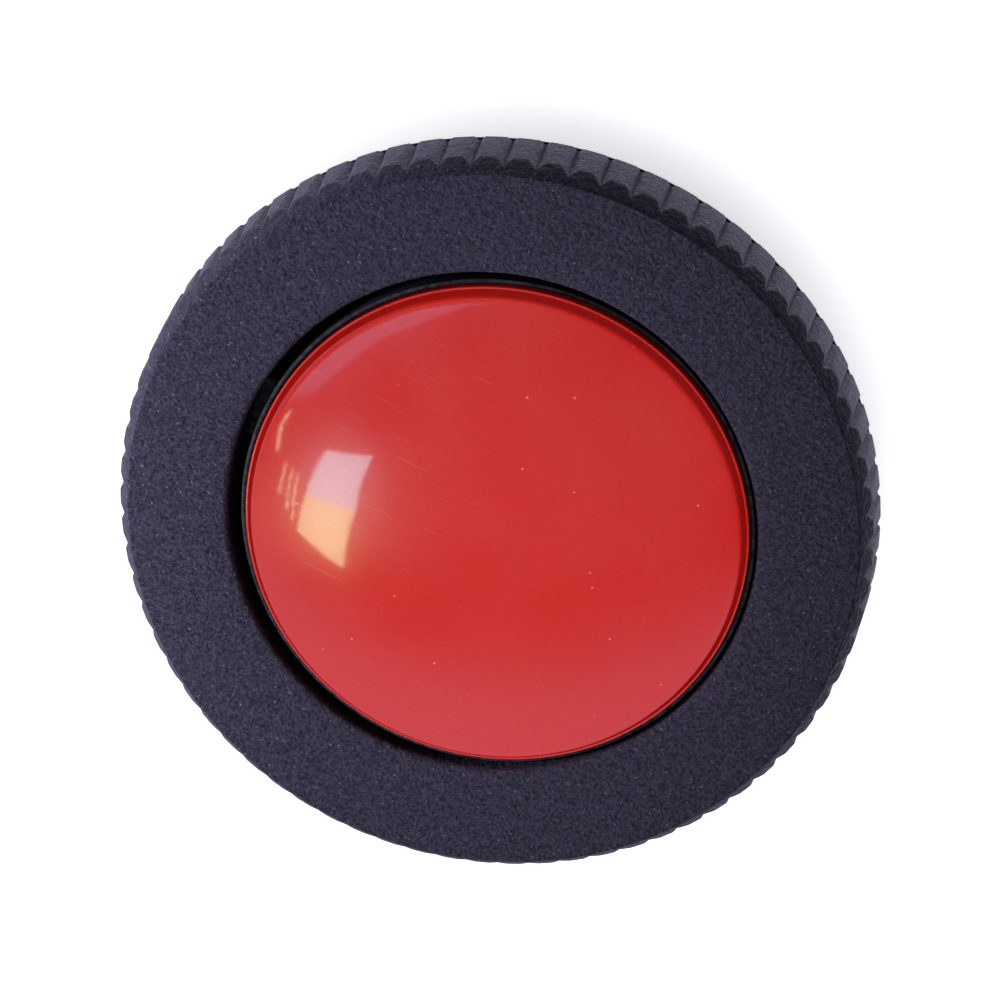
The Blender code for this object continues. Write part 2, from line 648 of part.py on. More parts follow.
def build_board():
    """The round circuit board and the small parts soldered on top of it."""
    profile = [(0.0, BOARD_BOTTOM), (BOARD_RADIUS, BOARD_BOTTOM), (BOARD_RADIUS, BOARD_TOP), (0.0, BOARD_TOP)]
    board = turned("circuit_board", profile, 40, surface("board_green", (0.02, 0.16, 0.06), 0.45))
    holes = bmesh.new()
    for centre in BOARD_SCREW_PLACES:
        add_cylinder(holes, SCREW_HOLE_RADIUS, BOARD_BOTTOM - 1.0 * MM, BOARD_TOP + 1.0 * MM, 12, centre)
    combine(board, place("board_holes", finish_mesh(holes, "board_holes")), "DIFFERENCE")

    blob = [
        (0.0, PART_BOTTOM),
        (3.4 * MM, PART_BOTTOM),
        (3.1 * MM, PART_BOTTOM + 0.6 * MM),
        (1.8 * MM, PART_BOTTOM + 1.1 * MM),
        (0.0, PART_BOTTOM + 1.3 * MM),
    ]
    epoxy = surface("chip_epoxy", (0.01, 0.01, 0.01), 0.35)
    turned("sound_chip", blob, 16, epoxy, (-11.0 * MM, 5.0 * MM, 0.0))
    can = [
        (0.0, PART_BOTTOM),
        (2.0 * MM, PART_BOTTOM),
        (2.0 * MM, 10.4 * MM),
        (1.7 * MM, 10.7 * MM),
        (0.0, 10.7 * MM),
    ]
    turned("capacitor", can, 16, surface("capacitor_can", STEEL, 0.4, 1.0), (10.5 * MM, 8.0 * MM, 0.0))
    ceramic = surface("resistor_ceramic", (0.03, 0.03, 0.035), 0.5)
    for number, (x, y) in enumerate([(10.0 * MM, -7.0 * MM), (-9.0 * MM, -8.0 * MM)], start=1):
        bm = bmesh.new()
        add_block(bm, -1.6 * MM, 1.6 * MM, 0.8 * MM, PART_BOTTOM, PART_BOTTOM + 0.6 * MM)
        name = f"resistor_{number}"
        place(name, finish_mesh(bm, name), ceramic, (x, y, 0.0))


def build_switch():
    """The push switch: a square body with a round well, and the stem that slides in it."""
    bm = bmesh.new()
    add_block(bm, -SWITCH_SIDE / 2, SWITCH_SIDE / 2, SWITCH_SIDE / 2, SWITCH_BOTTOM, SWITCH_TOP)
    body = place("switch_body", finish_mesh(bm, "switch_body"), surface("switch_shell", STEEL, 0.4, 1.0))
    well = bmesh.new()
    add_cylinder(well, STEM_RADIUS + GAP, STEM_WELL_BOTTOM, SWITCH_TOP + 1.0 * MM, 20)
    combine(body, place("switch_well", finish_mesh(well, "switch_well")), "DIFFERENCE")
    axis = axis_empty("switch_axis", (0.0, 0.0, 0.0))
    stem = [(0.0, STEM_BOTTOM), (STEM_RADIUS, STEM_BOTTOM), (STEM_RADIUS, STEM_TOP), (0.0, STEM_TOP)]
    turned("switch_stem", stem, 20, surface("stem_black", (0.02, 0.02, 0.02), 0.4), parent=axis)


def build_cell():
    """The coin cell, its open ring holder and its two contacts under the board."""
    place_of_cell = (CELL_X, 0.0, 0.0)
    cell = [
        (0.0, CELL_BOTTOM),
        (CELL_RADIUS - 0.3 * MM, CELL_BOTTOM),
        (CELL_RADIUS, CELL_BOTTOM + 0.3 * MM),
        (CELL_RADIUS, CELL_TOP - 0.3 * MM),
        (8.9 * MM, CELL_TOP - 0.2 * MM),
        (8.8 * MM, CELL_TOP),
        (0.0, CELL_TOP),
    ]
    turned("coin_cell", cell, 32, surface("cell_steel", (0.62, 0.62, 0.60), 0.25, 1.0), place_of_cell)

    holder_bottom = CELL_BOTTOM + 0.2 * MM
    holder_top = BOARD_BOTTOM - GAP
    holder_section = [
        (HOLDER_INNER_RADIUS, holder_bottom),
        (HOLDER_OUTER_RADIUS, holder_bottom),
        (HOLDER_OUTER_RADIUS, holder_top),
        (HOLDER_INNER_RADIUS, holder_top),
    ]
    black = surface("holder_black", (0.02, 0.02, 0.02), 0.5)
    holder = turned("cell_holder", holder_section, 32, black, place_of_cell)
    gap_cut = bmesh.new()
    add_block(gap_cut, HOLDER_INNER_RADIUS - 1.4 * MM, HOLDER_OUTER_RADIUS + 1.4 * MM, 3.2 * MM,
              holder_bottom - 1.0 * MM, holder_top + 1.0 * MM, math.pi / 2)
    cutter = place("holder_gap", finish_mesh(gap_cut, "holder_gap"), location=place_of_cell)
    combine(holder, cutter, "DIFFERENCE")

    contact_metal = surface("contact_nickel", (0.70, 0.66, 0.55), 0.3, 1.0)
    blade = [
        (10.25 * MM, 3.5 * MM),
        (10.65 * MM, 3.5 * MM),
        (10.65 * MM, 6.1 * MM),
        (12.60 * MM, 6.1 * MM),
        (12.60 * MM, holder_top),
        (10.25 * MM, holder_top),
    ]
    positive = bmesh.new()
    add_extruded(positive, blade, 2.2 * MM, math.pi / 2)
    positive_mesh = finish_mesh(positive, "cell_contact_positive")
    place("cell_contact_positive", positive_mesh, contact_metal, place_of_cell)
    finger = [
        (-6.0 * MM, 6.50 * MM),
        (-2.0 * MM, 6.35 * MM),
        (2.0 * MM, 6.35 * MM),
        (6.0 * MM, 6.50 * MM),
        (6.0 * MM, 6.65 * MM),
        (2.0 * MM, 6.50 * MM),
        (-2.0 * MM, 6.50 * MM),
        (-6.0 * MM, 6.65 * MM),
    ]
    negative = bmesh.new()
    add_extruded(negative, finger, 1.5 * MM)
    negative_mesh = finish_mesh(negative, "cell_contact_negative")
    place("cell_contact_negative", negative_mesh, contact_metal, place_of_cell)


def build_speaker():
    """The speaker: basket, magnet, paper cone, foam gasket and two wires to the board."""
    place_of_speaker = (SPEAKER_X, 0.0, 0.0)
    basket = [
        (8.8 * MM, SPEAKER_BOTTOM),
        (SPEAKER_RADIUS, SPEAKER_BOTTOM),
        (SPEAKER_RADIUS, SPEAKER_BOTTOM + 0.6 * MM),
        (9.2 * MM, SPEAKER_BOTTOM + 0.8 * MM),
        (6.0 * MM, SPEAKER_TOP - 1.0 * MM),
        (3.2 * MM, SPEAKER_TOP - 1.0 * MM),
        (3.2 * MM, SPEAKER_TOP - 1.4 * MM),
        (5.8 * MM, SPEAKER_TOP - 1.4 * MM),
        (8.8 * MM, SPEAKER_BOTTOM + 0.5 * MM),
    ]
    turned("speaker_basket", basket, 28, surface("basket_steel", STEEL, 0.35, 1.0), place_of_speaker)
    magnet_bottom = SPEAKER_TOP - 1.0 * MM + SMALL_GAP
    magnet = [(0.0, magnet_bottom), (4.8 * MM, magnet_bottom), (4.8 * MM, SPEAKER_TOP), (0.0, SPEAKER_TOP)]
    magnet_metal = surface("magnet_dark", (0.12, 0.12, 0.13), 0.45, 1.0)
    turned("speaker_magnet", magnet, 24, magnet_metal, place_of_speaker)
    cone = [
        (0.0, SPEAKER_BOTTOM + 0.3 * MM),
        (3.0 * MM, SPEAKER_BOTTOM + 0.8 * MM),
        (5.4 * MM, SPEAKER_BOTTOM + 0.9 * MM),
        (8.5 * MM, SPEAKER_BOTTOM + 0.1 * MM),
        (8.5 * MM, SPEAKER_BOTTOM + 0.3 * MM),
        (5.4 * MM, SPEAKER_BOTTOM + 1.1 * MM),
        (3.0 * MM, SPEAKER_BOTTOM + 1.0 * MM),
        (0.0, SPEAKER_BOTTOM + 0.5 * MM),
    ]
    turned("speaker_cone", cone, 24, surface("cone_paper", (0.05, 0.045, 0.04), 0.8), place_of_speaker)
    gasket_bottom = FLOOR_TOP + SMALL_GAP
    gasket_top = SPEAKER_BOTTOM - SMALL_GAP
    gasket = [
        (8.8 * MM, gasket_bottom),
        (SPEAKER_RADIUS, gasket_bottom),
        (SPEAKER_RADIUS, gasket_top),
        (8.8 * MM, gasket_top),
    ]
    turned("speaker_gasket", gasket, 24, surface("gasket_foam", (0.04, 0.04, 0.04), 0.9), place_of_speaker)
    wires = (("speaker_wire_red", 1, (0.5, 0.02, 0.02)), ("speaker_wire_black", -1, (0.02, 0.02, 0.02)))
    for name, side, colour in wires:
        points = [(x, side * y, z) for x, y, z in WIRE_ROUTE]
        tube(name, points, WIRE_RADIUS, 2, surface(name, colour, 0.5))


def build():
    """Builds the whole buzzer."""
    clear_scene()
    build_ring()
    build_button()
    build_spring()
    build_tray()
    build_battery_cap()
    build_screws_and_feet()
    build_board()
    build_switch()
    build_cell()
    build_speaker()


build()
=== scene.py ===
import math

import bmesh
import bpy
from mathutils import Matrix, Vector


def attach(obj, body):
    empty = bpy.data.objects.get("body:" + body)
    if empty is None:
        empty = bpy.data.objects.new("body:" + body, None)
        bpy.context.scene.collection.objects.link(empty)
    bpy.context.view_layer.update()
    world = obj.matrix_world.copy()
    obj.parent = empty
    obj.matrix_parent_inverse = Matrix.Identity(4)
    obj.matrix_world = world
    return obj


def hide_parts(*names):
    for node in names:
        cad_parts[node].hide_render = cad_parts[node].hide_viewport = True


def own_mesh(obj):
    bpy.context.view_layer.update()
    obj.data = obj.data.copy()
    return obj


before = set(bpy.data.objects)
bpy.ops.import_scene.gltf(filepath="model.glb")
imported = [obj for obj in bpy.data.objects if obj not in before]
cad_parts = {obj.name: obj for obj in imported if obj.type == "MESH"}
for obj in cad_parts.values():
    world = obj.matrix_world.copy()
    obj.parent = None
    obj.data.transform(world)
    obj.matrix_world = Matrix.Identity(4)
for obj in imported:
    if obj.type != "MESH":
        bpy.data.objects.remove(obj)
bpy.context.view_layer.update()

MM = 0.001
WELD = 0.003 * MM
SHARP = math.radians(35)

# Sizes of the part, which the finer pieces keep, and of their finer detail. Heights are from the floor.
FACE = 16.5 * MM
FLUTES = 73
FIRST_VALLEY = math.radians(-90.9)
LAND_RADIUS = 29.995 * MM
LAND_TOP_RADIUS = 29.85 * MM
VALLEY_RADIUS = 29.6 * MM
VALLEY_TOP_RADIUS = 29.38 * MM
FACE_EDGE_RADIUS = 28.9 * MM
CHAMFER_SLOPE = 1.55 / 0.95
GROOVE_HALF_TOP = 0.29  # half a valley's width, as a share of the pitch
GROOVE_HALF_BOTTOM = 0.17
RING_BOTTOM = FACE - 6.67 * MM
RIM_RADIUS = 29.75 * MM
RIM_TOP = RING_BOTTOM + 0.35 * MM
RIM_LINE = 0.14 * MM  # depth of the fine groove above the rim
RING_INNER = 27.6 * MM
FACE_UNDERSIDE = 14.7 * MM
OPENING = 20.9 * MM
COLLAR_OUTER = 22.1 * MM
COLLAR_BOTTOM = 9.9 * MM
NOTCH_TOP = 11.9 * MM
NOTCH_HALF = 3.2 * MM
SCREW_CIRCLE = 22.8 * MM
SCREW_ANGLES = [math.radians(angle) for angle in (40, 140, 220, 320)]
BUTTON_X = -0.4 * MM
DOME_RADIUS = 19.9 * MM
DOME_EDGE = 16.1 * MM
DOME_RISE = 4.5 * MM
DOME_SHOULDER = 1.05 * MM
DOME_WALL = 1.6 * MM
DOME_BOTTOM = 14.7 * MM
BRIM_RADIUS = 19.35 * MM
CARRIER_RADIUS = 20.35 * MM
CARRIER_LIP = 15.7 * MM
CARRIER_TOP = 14.4 * MM
CARRIER_UNDERSIDE = 13.2 * MM
BASE_OUTSIDE = 0.8 * MM
BASE_INSIDE = 2.6 * MM
SCREW_BORE = 1.15 * MM
SCREW_HEAD = 1.75 * MM
BOARD_SCREW_Y = 16.5 * MM
CELL_X = -11.4 * MM
CAP_RADIUS = 11.0 * MM
LUG_ANGLES = [math.radians(angle) for angle in (90, 210, 330)]
CAP_TURN = math.radians(40)
SPEAKER_X = 12.9 * MM
GRILLE_RINGS = ((0.0, 1), (2.8 * MM, 6), (5.6 * MM, 12))  # (radius, number of holes)


# ---------------------------------------------------------------- materials

def put(tree, kind, values=None, links=None, **settings):
    """Adds a shader node with these settings, input values and input links."""
    made = tree.nodes.new("ShaderNode" + kind)
    for name, value in settings.items():
        setattr(made, name, value)
    for name, value in (values or {}).items():
        made.inputs[name].default_value = value
    for name, socket in (links or {}).items():
        tree.links.new(socket, made.inputs[name])
    return made


def new_material(name, colour, roughness, metallic=0.0):
    """A material, its node tree and its Principled shader."""
    made = bpy.data.materials.new(name)
    made.use_nodes = True
    shader = made.node_tree.nodes["Principled BSDF"]
    shader.inputs["Base Color"].default_value = (*colour, 1.0)
    shader.inputs["Roughness"].default_value = roughness
    shader.inputs["Metallic"].default_value = metallic
    return made, made.node_tree, shader


def place_of(tree):
    """The point on the piece, in metres."""
    return put(tree, "TexCoord").outputs["Object"]


def noise_of(tree, where, size, detail=2.0, rough=0.55):
    """Noise whose features are about this size."""
    values = {"Scale": 1.0 / size, "Detail": detail, "Roughness": rough}
    return put(tree, "TexNoise", values, {"Vector": where}).outputs["Fac"]


def spread(tree, value, low, high, to_low=0.0, to_high=1.0):
    """Maps a value from low..high to to_low..to_high, and clamps it there."""
    values = {"From Min": low, "From Max": high, "To Min": to_low, "To Max": to_high}
    return put(tree, "MapRange", values, {"Value": value}).outputs["Result"]


def math_of(tree, operation, a, b):
    """A Math node of two sockets or numbers."""
    made = put(tree, "Math", operation=operation)
    for index, value in enumerate((a, b)):
        if isinstance(value, (int, float)):
            made.inputs[index].default_value = value
        else:
            tree.links.new(value, made.inputs[index])
    return made.outputs[0]


def colour_mix(tree, factor, a, b):
    """Mixes two colours, each a socket or a tuple, by a socket."""
    made = put(tree, "Mix", data_type="RGBA")
    tree.links.new(factor, made.inputs[0])
    for index, value in ((6, a), (7, b)):
        if isinstance(value, tuple):
            made.inputs[index].default_value = (*value, 1.0)
        else:
            tree.links.new(value, made.inputs[index])
    return made.outputs[2]


def shade(colour, factor):
    """A colour made lighter or darker."""
    return tuple(channel * factor for channel in colour)


def set_bump(tree, shader, heights, coat=False):
    """Adds bumps, each (height socket, depth in metres), one on top of the other."""
    normal = None
    for height, depth in heights:
        made = put(tree, "Bump", {"Strength": 1.0, "Distance": depth}, {"Height": height})
        if normal:
            tree.links.new(normal, made.inputs["Normal"])
        normal = made.outputs["Normal"]
    tree.links.new(normal, shader.inputs["Normal"])
    if coat:
        tree.links.new(normal, shader.inputs["Coat Normal"])


def moulded_plastic(name, colour, roughness, grain, depth, contrast=0.5, dust=0.0):
    """Plastic with a spark-eroded grain of small facets in the surface, whose colour follows the grain's
    heights: painted shade in the pits and painted light on the tips.
    """
    made, tree, shader = new_material(name, colour, roughness)
    where = place_of(tree)
    fine = noise_of(tree, where, grain, 1.0, 0.5)
    coarse = noise_of(tree, where, grain * 2.2, 1.0)
    broad = noise_of(tree, where, 9 * MM, 2.0)
    fine_part = math_of(tree, "MULTIPLY", fine, 0.7)
    coarse_part = math_of(tree, "MULTIPLY", coarse, 0.3)
    painted_grain_shading = math_of(tree, "ADD", fine_part, coarse_part)
    # Painted shade and light: the colour follows the bump heights, darker in the pits and lighter on the
    # tips.
    tone = spread(tree, painted_grain_shading, 0.36, 0.64)
    base = colour_mix(tree, tone, shade(colour, 1.0 - contrast), shade(colour, 1.0 + contrast))
    base = colour_mix(tree, spread(tree, broad, 0.3, 0.7, 0.0, 0.15), base, shade(colour, 1.2))
    if dust:
        tips = noise_of(tree, where, 0.3 * MM, 1.0, 0.6)
        base = colour_mix(tree, spread(tree, tips, 0.66, 0.80, 0.0, dust), base, (0.15, 0.145, 0.17))
    tree.links.new(base, shader.inputs["Base Color"])
    tree.links.new(spread(tree, fine, 0.3, 0.7, roughness - 0.1, roughness + 0.1), shader.inputs["Roughness"])
    set_bump(tree, shader, [(coarse, depth * 1.2), (fine, depth)])
    return made


def glossy_red(name, colour):
    """Glossy moulded dome: clear over a strong red, with fine scratches, haze and a little dust."""
    made, tree, shader = new_material(name, colour, 0.22)
    where = place_of(tree)
    broad = noise_of(tree, where, 8 * MM, 1.0)
    fine = noise_of(tree, where, 0.35 * MM, 2.0, 0.6)
    base = colour_mix(tree, spread(tree, broad, 0.0, 1.0), shade(colour, 0.96), shade(colour, 1.03))
    base = colour_mix(tree, spread(tree, fine, 0.35, 0.65, 0.0, 0.5), base, shade(colour, 0.84))
    specks = put(tree, "TexVoronoi", {"Scale": 1.0 / (2.6 * MM)}, {"Vector": where})
    dust = spread(tree, specks.outputs["Distance"], 0.015, 0.05, 0.5, 0.0)
    base = colour_mix(tree, dust, base, (0.80, 0.42, 0.40))
    lines = None
    for turn, size in ((34, 0.9 * MM), (-52, 1.3 * MM)):
        along = put(tree, "Mapping", {"Rotation": (0.0, 0.0, math.radians(turn)), "Scale": (0.22, 9.0, 0.22)},
                    {"Vector": where})
        streak = spread(tree, noise_of(tree, along.outputs["Vector"], size, 1.0), 0.70, 0.76)
        lines = math_of(tree, "MAXIMUM", lines, streak) if lines else streak
    # Wear shows most where fingers land, on one side of the dome.
    touched = (9.5 * MM, 0.0, 19.0 * MM)
    away = put(tree, "VectorMath", {1: touched}, {0: where}, operation="DISTANCE").outputs["Value"]
    lines = math_of(tree, "MULTIPLY", lines, spread(tree, away, 4 * MM, 18 * MM, 1.0, 0.1))
    base = colour_mix(tree, math_of(tree, "MULTIPLY", lines, 0.22), base, (0.62, 0.20, 0.17))
    tree.links.new(base, shader.inputs["Base Color"])
    tree.links.new(spread(tree, broad, 0.0, 1.0, 0.14, 0.32), shader.inputs["Roughness"])
    shader.inputs["Coat Weight"].default_value = 0.9
    haze = spread(tree, fine, 0.3, 0.7, 0.02, 0.06)
    rough = math_of(tree, "ADD", haze, math_of(tree, "MULTIPLY", lines, 0.12))
    tree.links.new(rough, shader.inputs["Coat Roughness"])
    set_bump(tree, shader, [(broad, 0.004 * MM), (fine, 0.0012 * MM)], coat=True)
    return made


def brushed_metal(name, colour, roughness):
    """Metal with fine marks and slightly uneven tarnish."""
    made, tree, shader = new_material(name, colour, roughness, 1.0)
    where = place_of(tree)
    marks = noise_of(tree, where, 0.4 * MM, 4.0, 0.7)
    tarnish = noise_of(tree, where, 3 * MM, 2.0)
    base = colour_mix(tree, spread(tree, tarnish, 0.3, 0.7), shade(colour, 0.82), colour)
    tree.links.new(base, shader.inputs["Base Color"])
    dulled = spread(tree, marks, 0.3, 0.7, roughness - 0.08, roughness + 0.12)
    tree.links.new(dulled, shader.inputs["Roughness"])
    set_bump(tree, shader, [(marks, 0.004 * MM)])
    return made


def plain_grain(name, colour, roughness, size, depth, contrast=0.2):
    """A non-metal with grain of a given size: rubber, foam, paper, ceramic or wire insulation."""
    made, tree, shader = new_material(name, colour, roughness)
    where = place_of(tree)
    grain = noise_of(tree, where, size, 3.0, 0.6)
    tone = spread(tree, grain, 0.3, 0.7)
    base = colour_mix(tree, tone, shade(colour, 1 - contrast), shade(colour, 1 + contrast))
    tree.links.new(base, shader.inputs["Base Color"])
    dulled = spread(tree, grain, 0.3, 0.7, roughness - 0.06, min(1.0, roughness + 0.06))
    tree.links.new(dulled, shader.inputs["Roughness"])
    set_bump(tree, shader, [(grain, depth)])
    return made


def board_finish(name):
    """Green solder mask over a glass weave, with the faint relief of the copper below."""
    made, tree, shader = new_material(name, (0.02, 0.16, 0.06), 0.35)
    where = place_of(tree)
    values = {"Scale": 700.0, "Distortion": 0.3}
    threads = []
    for direction in ("X", "Y"):
        wave = put(tree, "TexWave", values, {"Vector": where}, bands_direction=direction)
        threads.append(wave.outputs["Fac"])
    weave = math_of(tree, "MULTIPLY", *threads)
    copper = noise_of(tree, where, 4 * MM, 0.0)
    base = colour_mix(tree, weave, (0.012, 0.11, 0.045), (0.02, 0.15, 0.06))
    base = colour_mix(tree, spread(tree, copper, 0.5, 0.51), base, (0.03, 0.24, 0.08))
    tree.links.new(base, shader.inputs["Base Color"])
    tree.links.new(spread(tree, weave, 0.0, 1.0, 0.3, 0.45), shader.inputs["Roughness"])
    set_bump(tree, shader, [(weave, 0.004 * MM), (spread(tree, copper, 0.5, 0.51), 0.02 * MM)])
    return made


CHARCOAL = (0.0190, 0.0174, 0.0300)
STEEL = (0.55, 0.56, 0.57)

finishes = {
    "bezel_black": moulded_plastic("bezel_grain", CHARCOAL, 0.55, 0.27 * MM, 0.085 * MM, 0.5, dust=0.55),
    "tray_black": moulded_plastic("tray_grain", CHARCOAL, 0.55, 0.2 * MM, 0.012 * MM),
    "cap_black": moulded_plastic("cap_grain", CHARCOAL, 0.5, 0.2 * MM, 0.01 * MM),
    "dome_red": glossy_red("dome_gloss", (0.58, 0.0095, 0.0045)),
    "carrier_black": moulded_plastic("carrier_gloss", (0.012, 0.011, 0.016), 0.32, 0.5 * MM, 0.001 * MM),
    "spring_steel": brushed_metal("spring_wire_finish", STEEL, 0.28),
    "screw_steel": brushed_metal("screw_finish", STEEL, 0.35),
    "foot_rubber": plain_grain("foot_rubber_grain", (0.022, 0.022, 0.024), 0.8, 0.3 * MM, 0.01 * MM),
    "board_green": board_finish("board_mask"),
    "chip_epoxy": plain_grain("chip_epoxy_gloss", (0.008, 0.008, 0.009), 0.25, 1.2 * MM, 0.02 * MM),
    "capacitor_can": brushed_metal("capacitor_sleeve", (0.45, 0.46, 0.50), 0.35),
    "resistor_ceramic": plain_grain("resistor_body", (0.02, 0.02, 0.024), 0.45, 0.2 * MM, 0.004 * MM),
    "switch_shell": brushed_metal("switch_cover", (0.60, 0.60, 0.62), 0.32),
    "stem_black": plain_grain("stem_plastic", (0.015, 0.015, 0.017), 0.35, 0.2 * MM, 0.003 * MM),
    "cell_steel": brushed_metal("cell_can", (0.66, 0.66, 0.64), 0.22),
    "holder_black": moulded_plastic("holder_plastic", (0.015, 0.015, 0.017), 0.45, 0.2 * MM, 0.006 * MM),
    "contact_nickel": brushed_metal("contact_plate", (0.70, 0.66, 0.55), 0.28),
    "basket_steel": brushed_metal("basket_plate", STEEL, 0.35),
    "magnet_dark": brushed_metal("magnet_plate", (0.14, 0.14, 0.15), 0.4),
    "cone_paper": plain_grain("cone_paper_fibre", (0.045, 0.04, 0.036), 0.85, 0.15 * MM, 0.02 * MM, 0.35),
    "gasket_foam": plain_grain("gasket_foam_cells", (0.03, 0.03, 0.032), 0.9, 0.25 * MM, 0.05 * MM, 0.5),
    "wire_red": plain_grain("wire_red_jacket", (0.14, 0.008, 0.008), 0.4, 0.3 * MM, 0.004 * MM),
    "wire_black": plain_grain("wire_black_jacket", (0.015, 0.015, 0.016), 0.4, 0.3 * MM, 0.004 * MM),
}


# ---------------------------------------------------------------- geometry

def rounded(points, steps=3):
    """A closed outline of (radius, height) points; one with a third number has its corner rounded by it."""
    outline = []
    for index, point in enumerate(points):
        here = Vector(point[:2])
        if len(point) < 3:
            outline.append(here)
            continue
        before = Vector(points[index - 1][:2])
        after = Vector(points[(index + 1) % len(points)][:2])
        start = here + (before - here).normalized() * point[2]
        end = here + (after - here).normalized() * point[2]
        for step in range(steps + 1):
            t = step / steps
            outline.append(start * (1 - t) ** 2 + here * (2 * t * (1 - t)) + end * t * t)
    return outline


def skin(bm, columns, closed=True):
    """Faces the strips between neighbouring columns of vertices, all the way round.

    A closed column joins its last vertex to its first.
    """
    for here, there in zip(columns, columns[1:] + columns[:1]):
        last = len(here) if closed else len(here) - 1
        for index in range(last):
            after = (index + 1) % len(here)
            corners = list(dict.fromkeys([here[index], there[index], there[after], here[after]]))
            if len(corners) > 2:
                bm.faces.new(corners)


def add_turned(bm, profile, segments, centre=(0.0, 0.0)):
    """Adds the body turned from an outline. One that starts and ends on the axis gives a solid."""
    closed = profile[0][0] > 1e-9
    on_axis = {}
    columns = []
    for step in range(segments):
        angle = 2 * math.pi * step / segments
        column = []
        for radius, height in profile:
            if radius < 1e-9:
                if height not in on_axis:
                    on_axis[height] = bm.verts.new((centre[0], centre[1], height))
                column.append(on_axis[height])
            else:
                place = (centre[0] + radius * math.cos(angle), centre[1] + radius * math.sin(angle), height)
                column.append(bm.verts.new(place))
        columns.append(column)
    skin(bm, columns, closed)


def add_extruded(bm, outline, half_width, angle=0.0, centre=(0.0, 0.0)):
    """Adds an outline of (outward, height) points, given thickness across and turned to an angle about Z."""
    cosine, sine = math.cos(angle), math.sin(angle)
    sides = []
    for across in (-half_width, half_width):
        side = []
        for out, height in outline:
            x = centre[0] + out * cosine - across * sine
            y = centre[1] + out * sine + across * cosine
            side.append(bm.verts.new((x, y, height)))
        sides.append(side)
    bm.faces.new(sides[0])
    bm.faces.new(sides[1])
    for index in range(len(outline)):
        after = (index + 1) % len(outline)
        bm.faces.new([sides[0][index], sides[0][after], sides[1][after], sides[1][index]])


def to_mesh(bm, name):
    """A mesh with outward faces, smooth except across sharp edges."""
    bmesh.ops.recalc_face_normals(bm, faces=bm.faces)
    mesh = bpy.data.meshes.new(name)
    bm.to_mesh(mesh)
    bm.free()
    mesh.shade_smooth()
    mesh.set_sharp_from_angle(angle=SHARP)
    return mesh


def add_object(name, mesh):
    """Links an object of this mesh at the origin."""
    made = bpy.data.objects.new(name, mesh)
    bpy.context.scene.collection.objects.link(made)
    return made


def make_piece(name, mesh, body, slot, node):
    """A piece of the buzzer: it rides on a body, has a slot's finish and stands for a CAD node."""
    mesh.materials.clear()
    mesh.materials.append(finishes[slot])
    piece = add_object(name, mesh)
    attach(piece, body)
    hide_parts(node)
    return piece


def applied(item):
    """A new mesh of an object with its modifiers applied."""
    bpy.context.view_layer.update()
    return bpy.data.meshes.new_from_object(item.evaluated_get(bpy.context.evaluated_depsgraph_get()))


def cut_mesh(name, mesh, tools):
    """The mesh after Booleans, each (bmesh, operation), cleaned and shaded."""
    target = add_object(name + "_blank", mesh)
    extras = []
    for number, (bm, operation) in enumerate(tools):
        tool = add_object(f"{name}_tool_{number}", to_mesh(bm, f"{name}_tool_{number}"))
        extras.append(tool)
        modifier = target.modifiers.new(f"cut_{number}", "BOOLEAN")
        modifier.operation = operation
        modifier.solver = "MANIFOLD"
        modifier.object = tool
    cut = applied(target)
    bm = bmesh.new()
    bm.from_mesh(cut)
    bmesh.ops.remove_doubles(bm, verts=bm.verts, dist=WELD)
    bmesh.ops.dissolve_degenerate(bm, edges=bm.edges, dist=WELD)
    bm.to_mesh(cut)
    bm.free()
    cut.shade_smooth()
    cut.set_sharp_from_angle(angle=SHARP)
    # Large flat faces keep their own normals, so small roundings beside them don't shade them.
    target.modifiers.clear()
    target.data = cut
    modifier = target.modifiers.new("normals", "WEIGHTED_NORMAL")
    modifier.keep_sharp = True
    modifier.weight = 100
    made = applied(target)
    for item in [target, *extras]:
        bpy.data.objects.remove(item, do_unlink=True)
    made.name = name
    return made


def around(circle, angle):
    """The point of a circle about the Z axis at an angle."""
    return circle * math.cos(angle), circle * math.sin(angle)


# Fluted ring

def groove(share, half):
    """Depth of a groove of this half width at a share of the pitch: 1 in the valley, falling to 0."""
    away = min(share % 1.0, 1.0 - share % 1.0) / half
    return max(0.0, 1.0 - away) ** 1.2


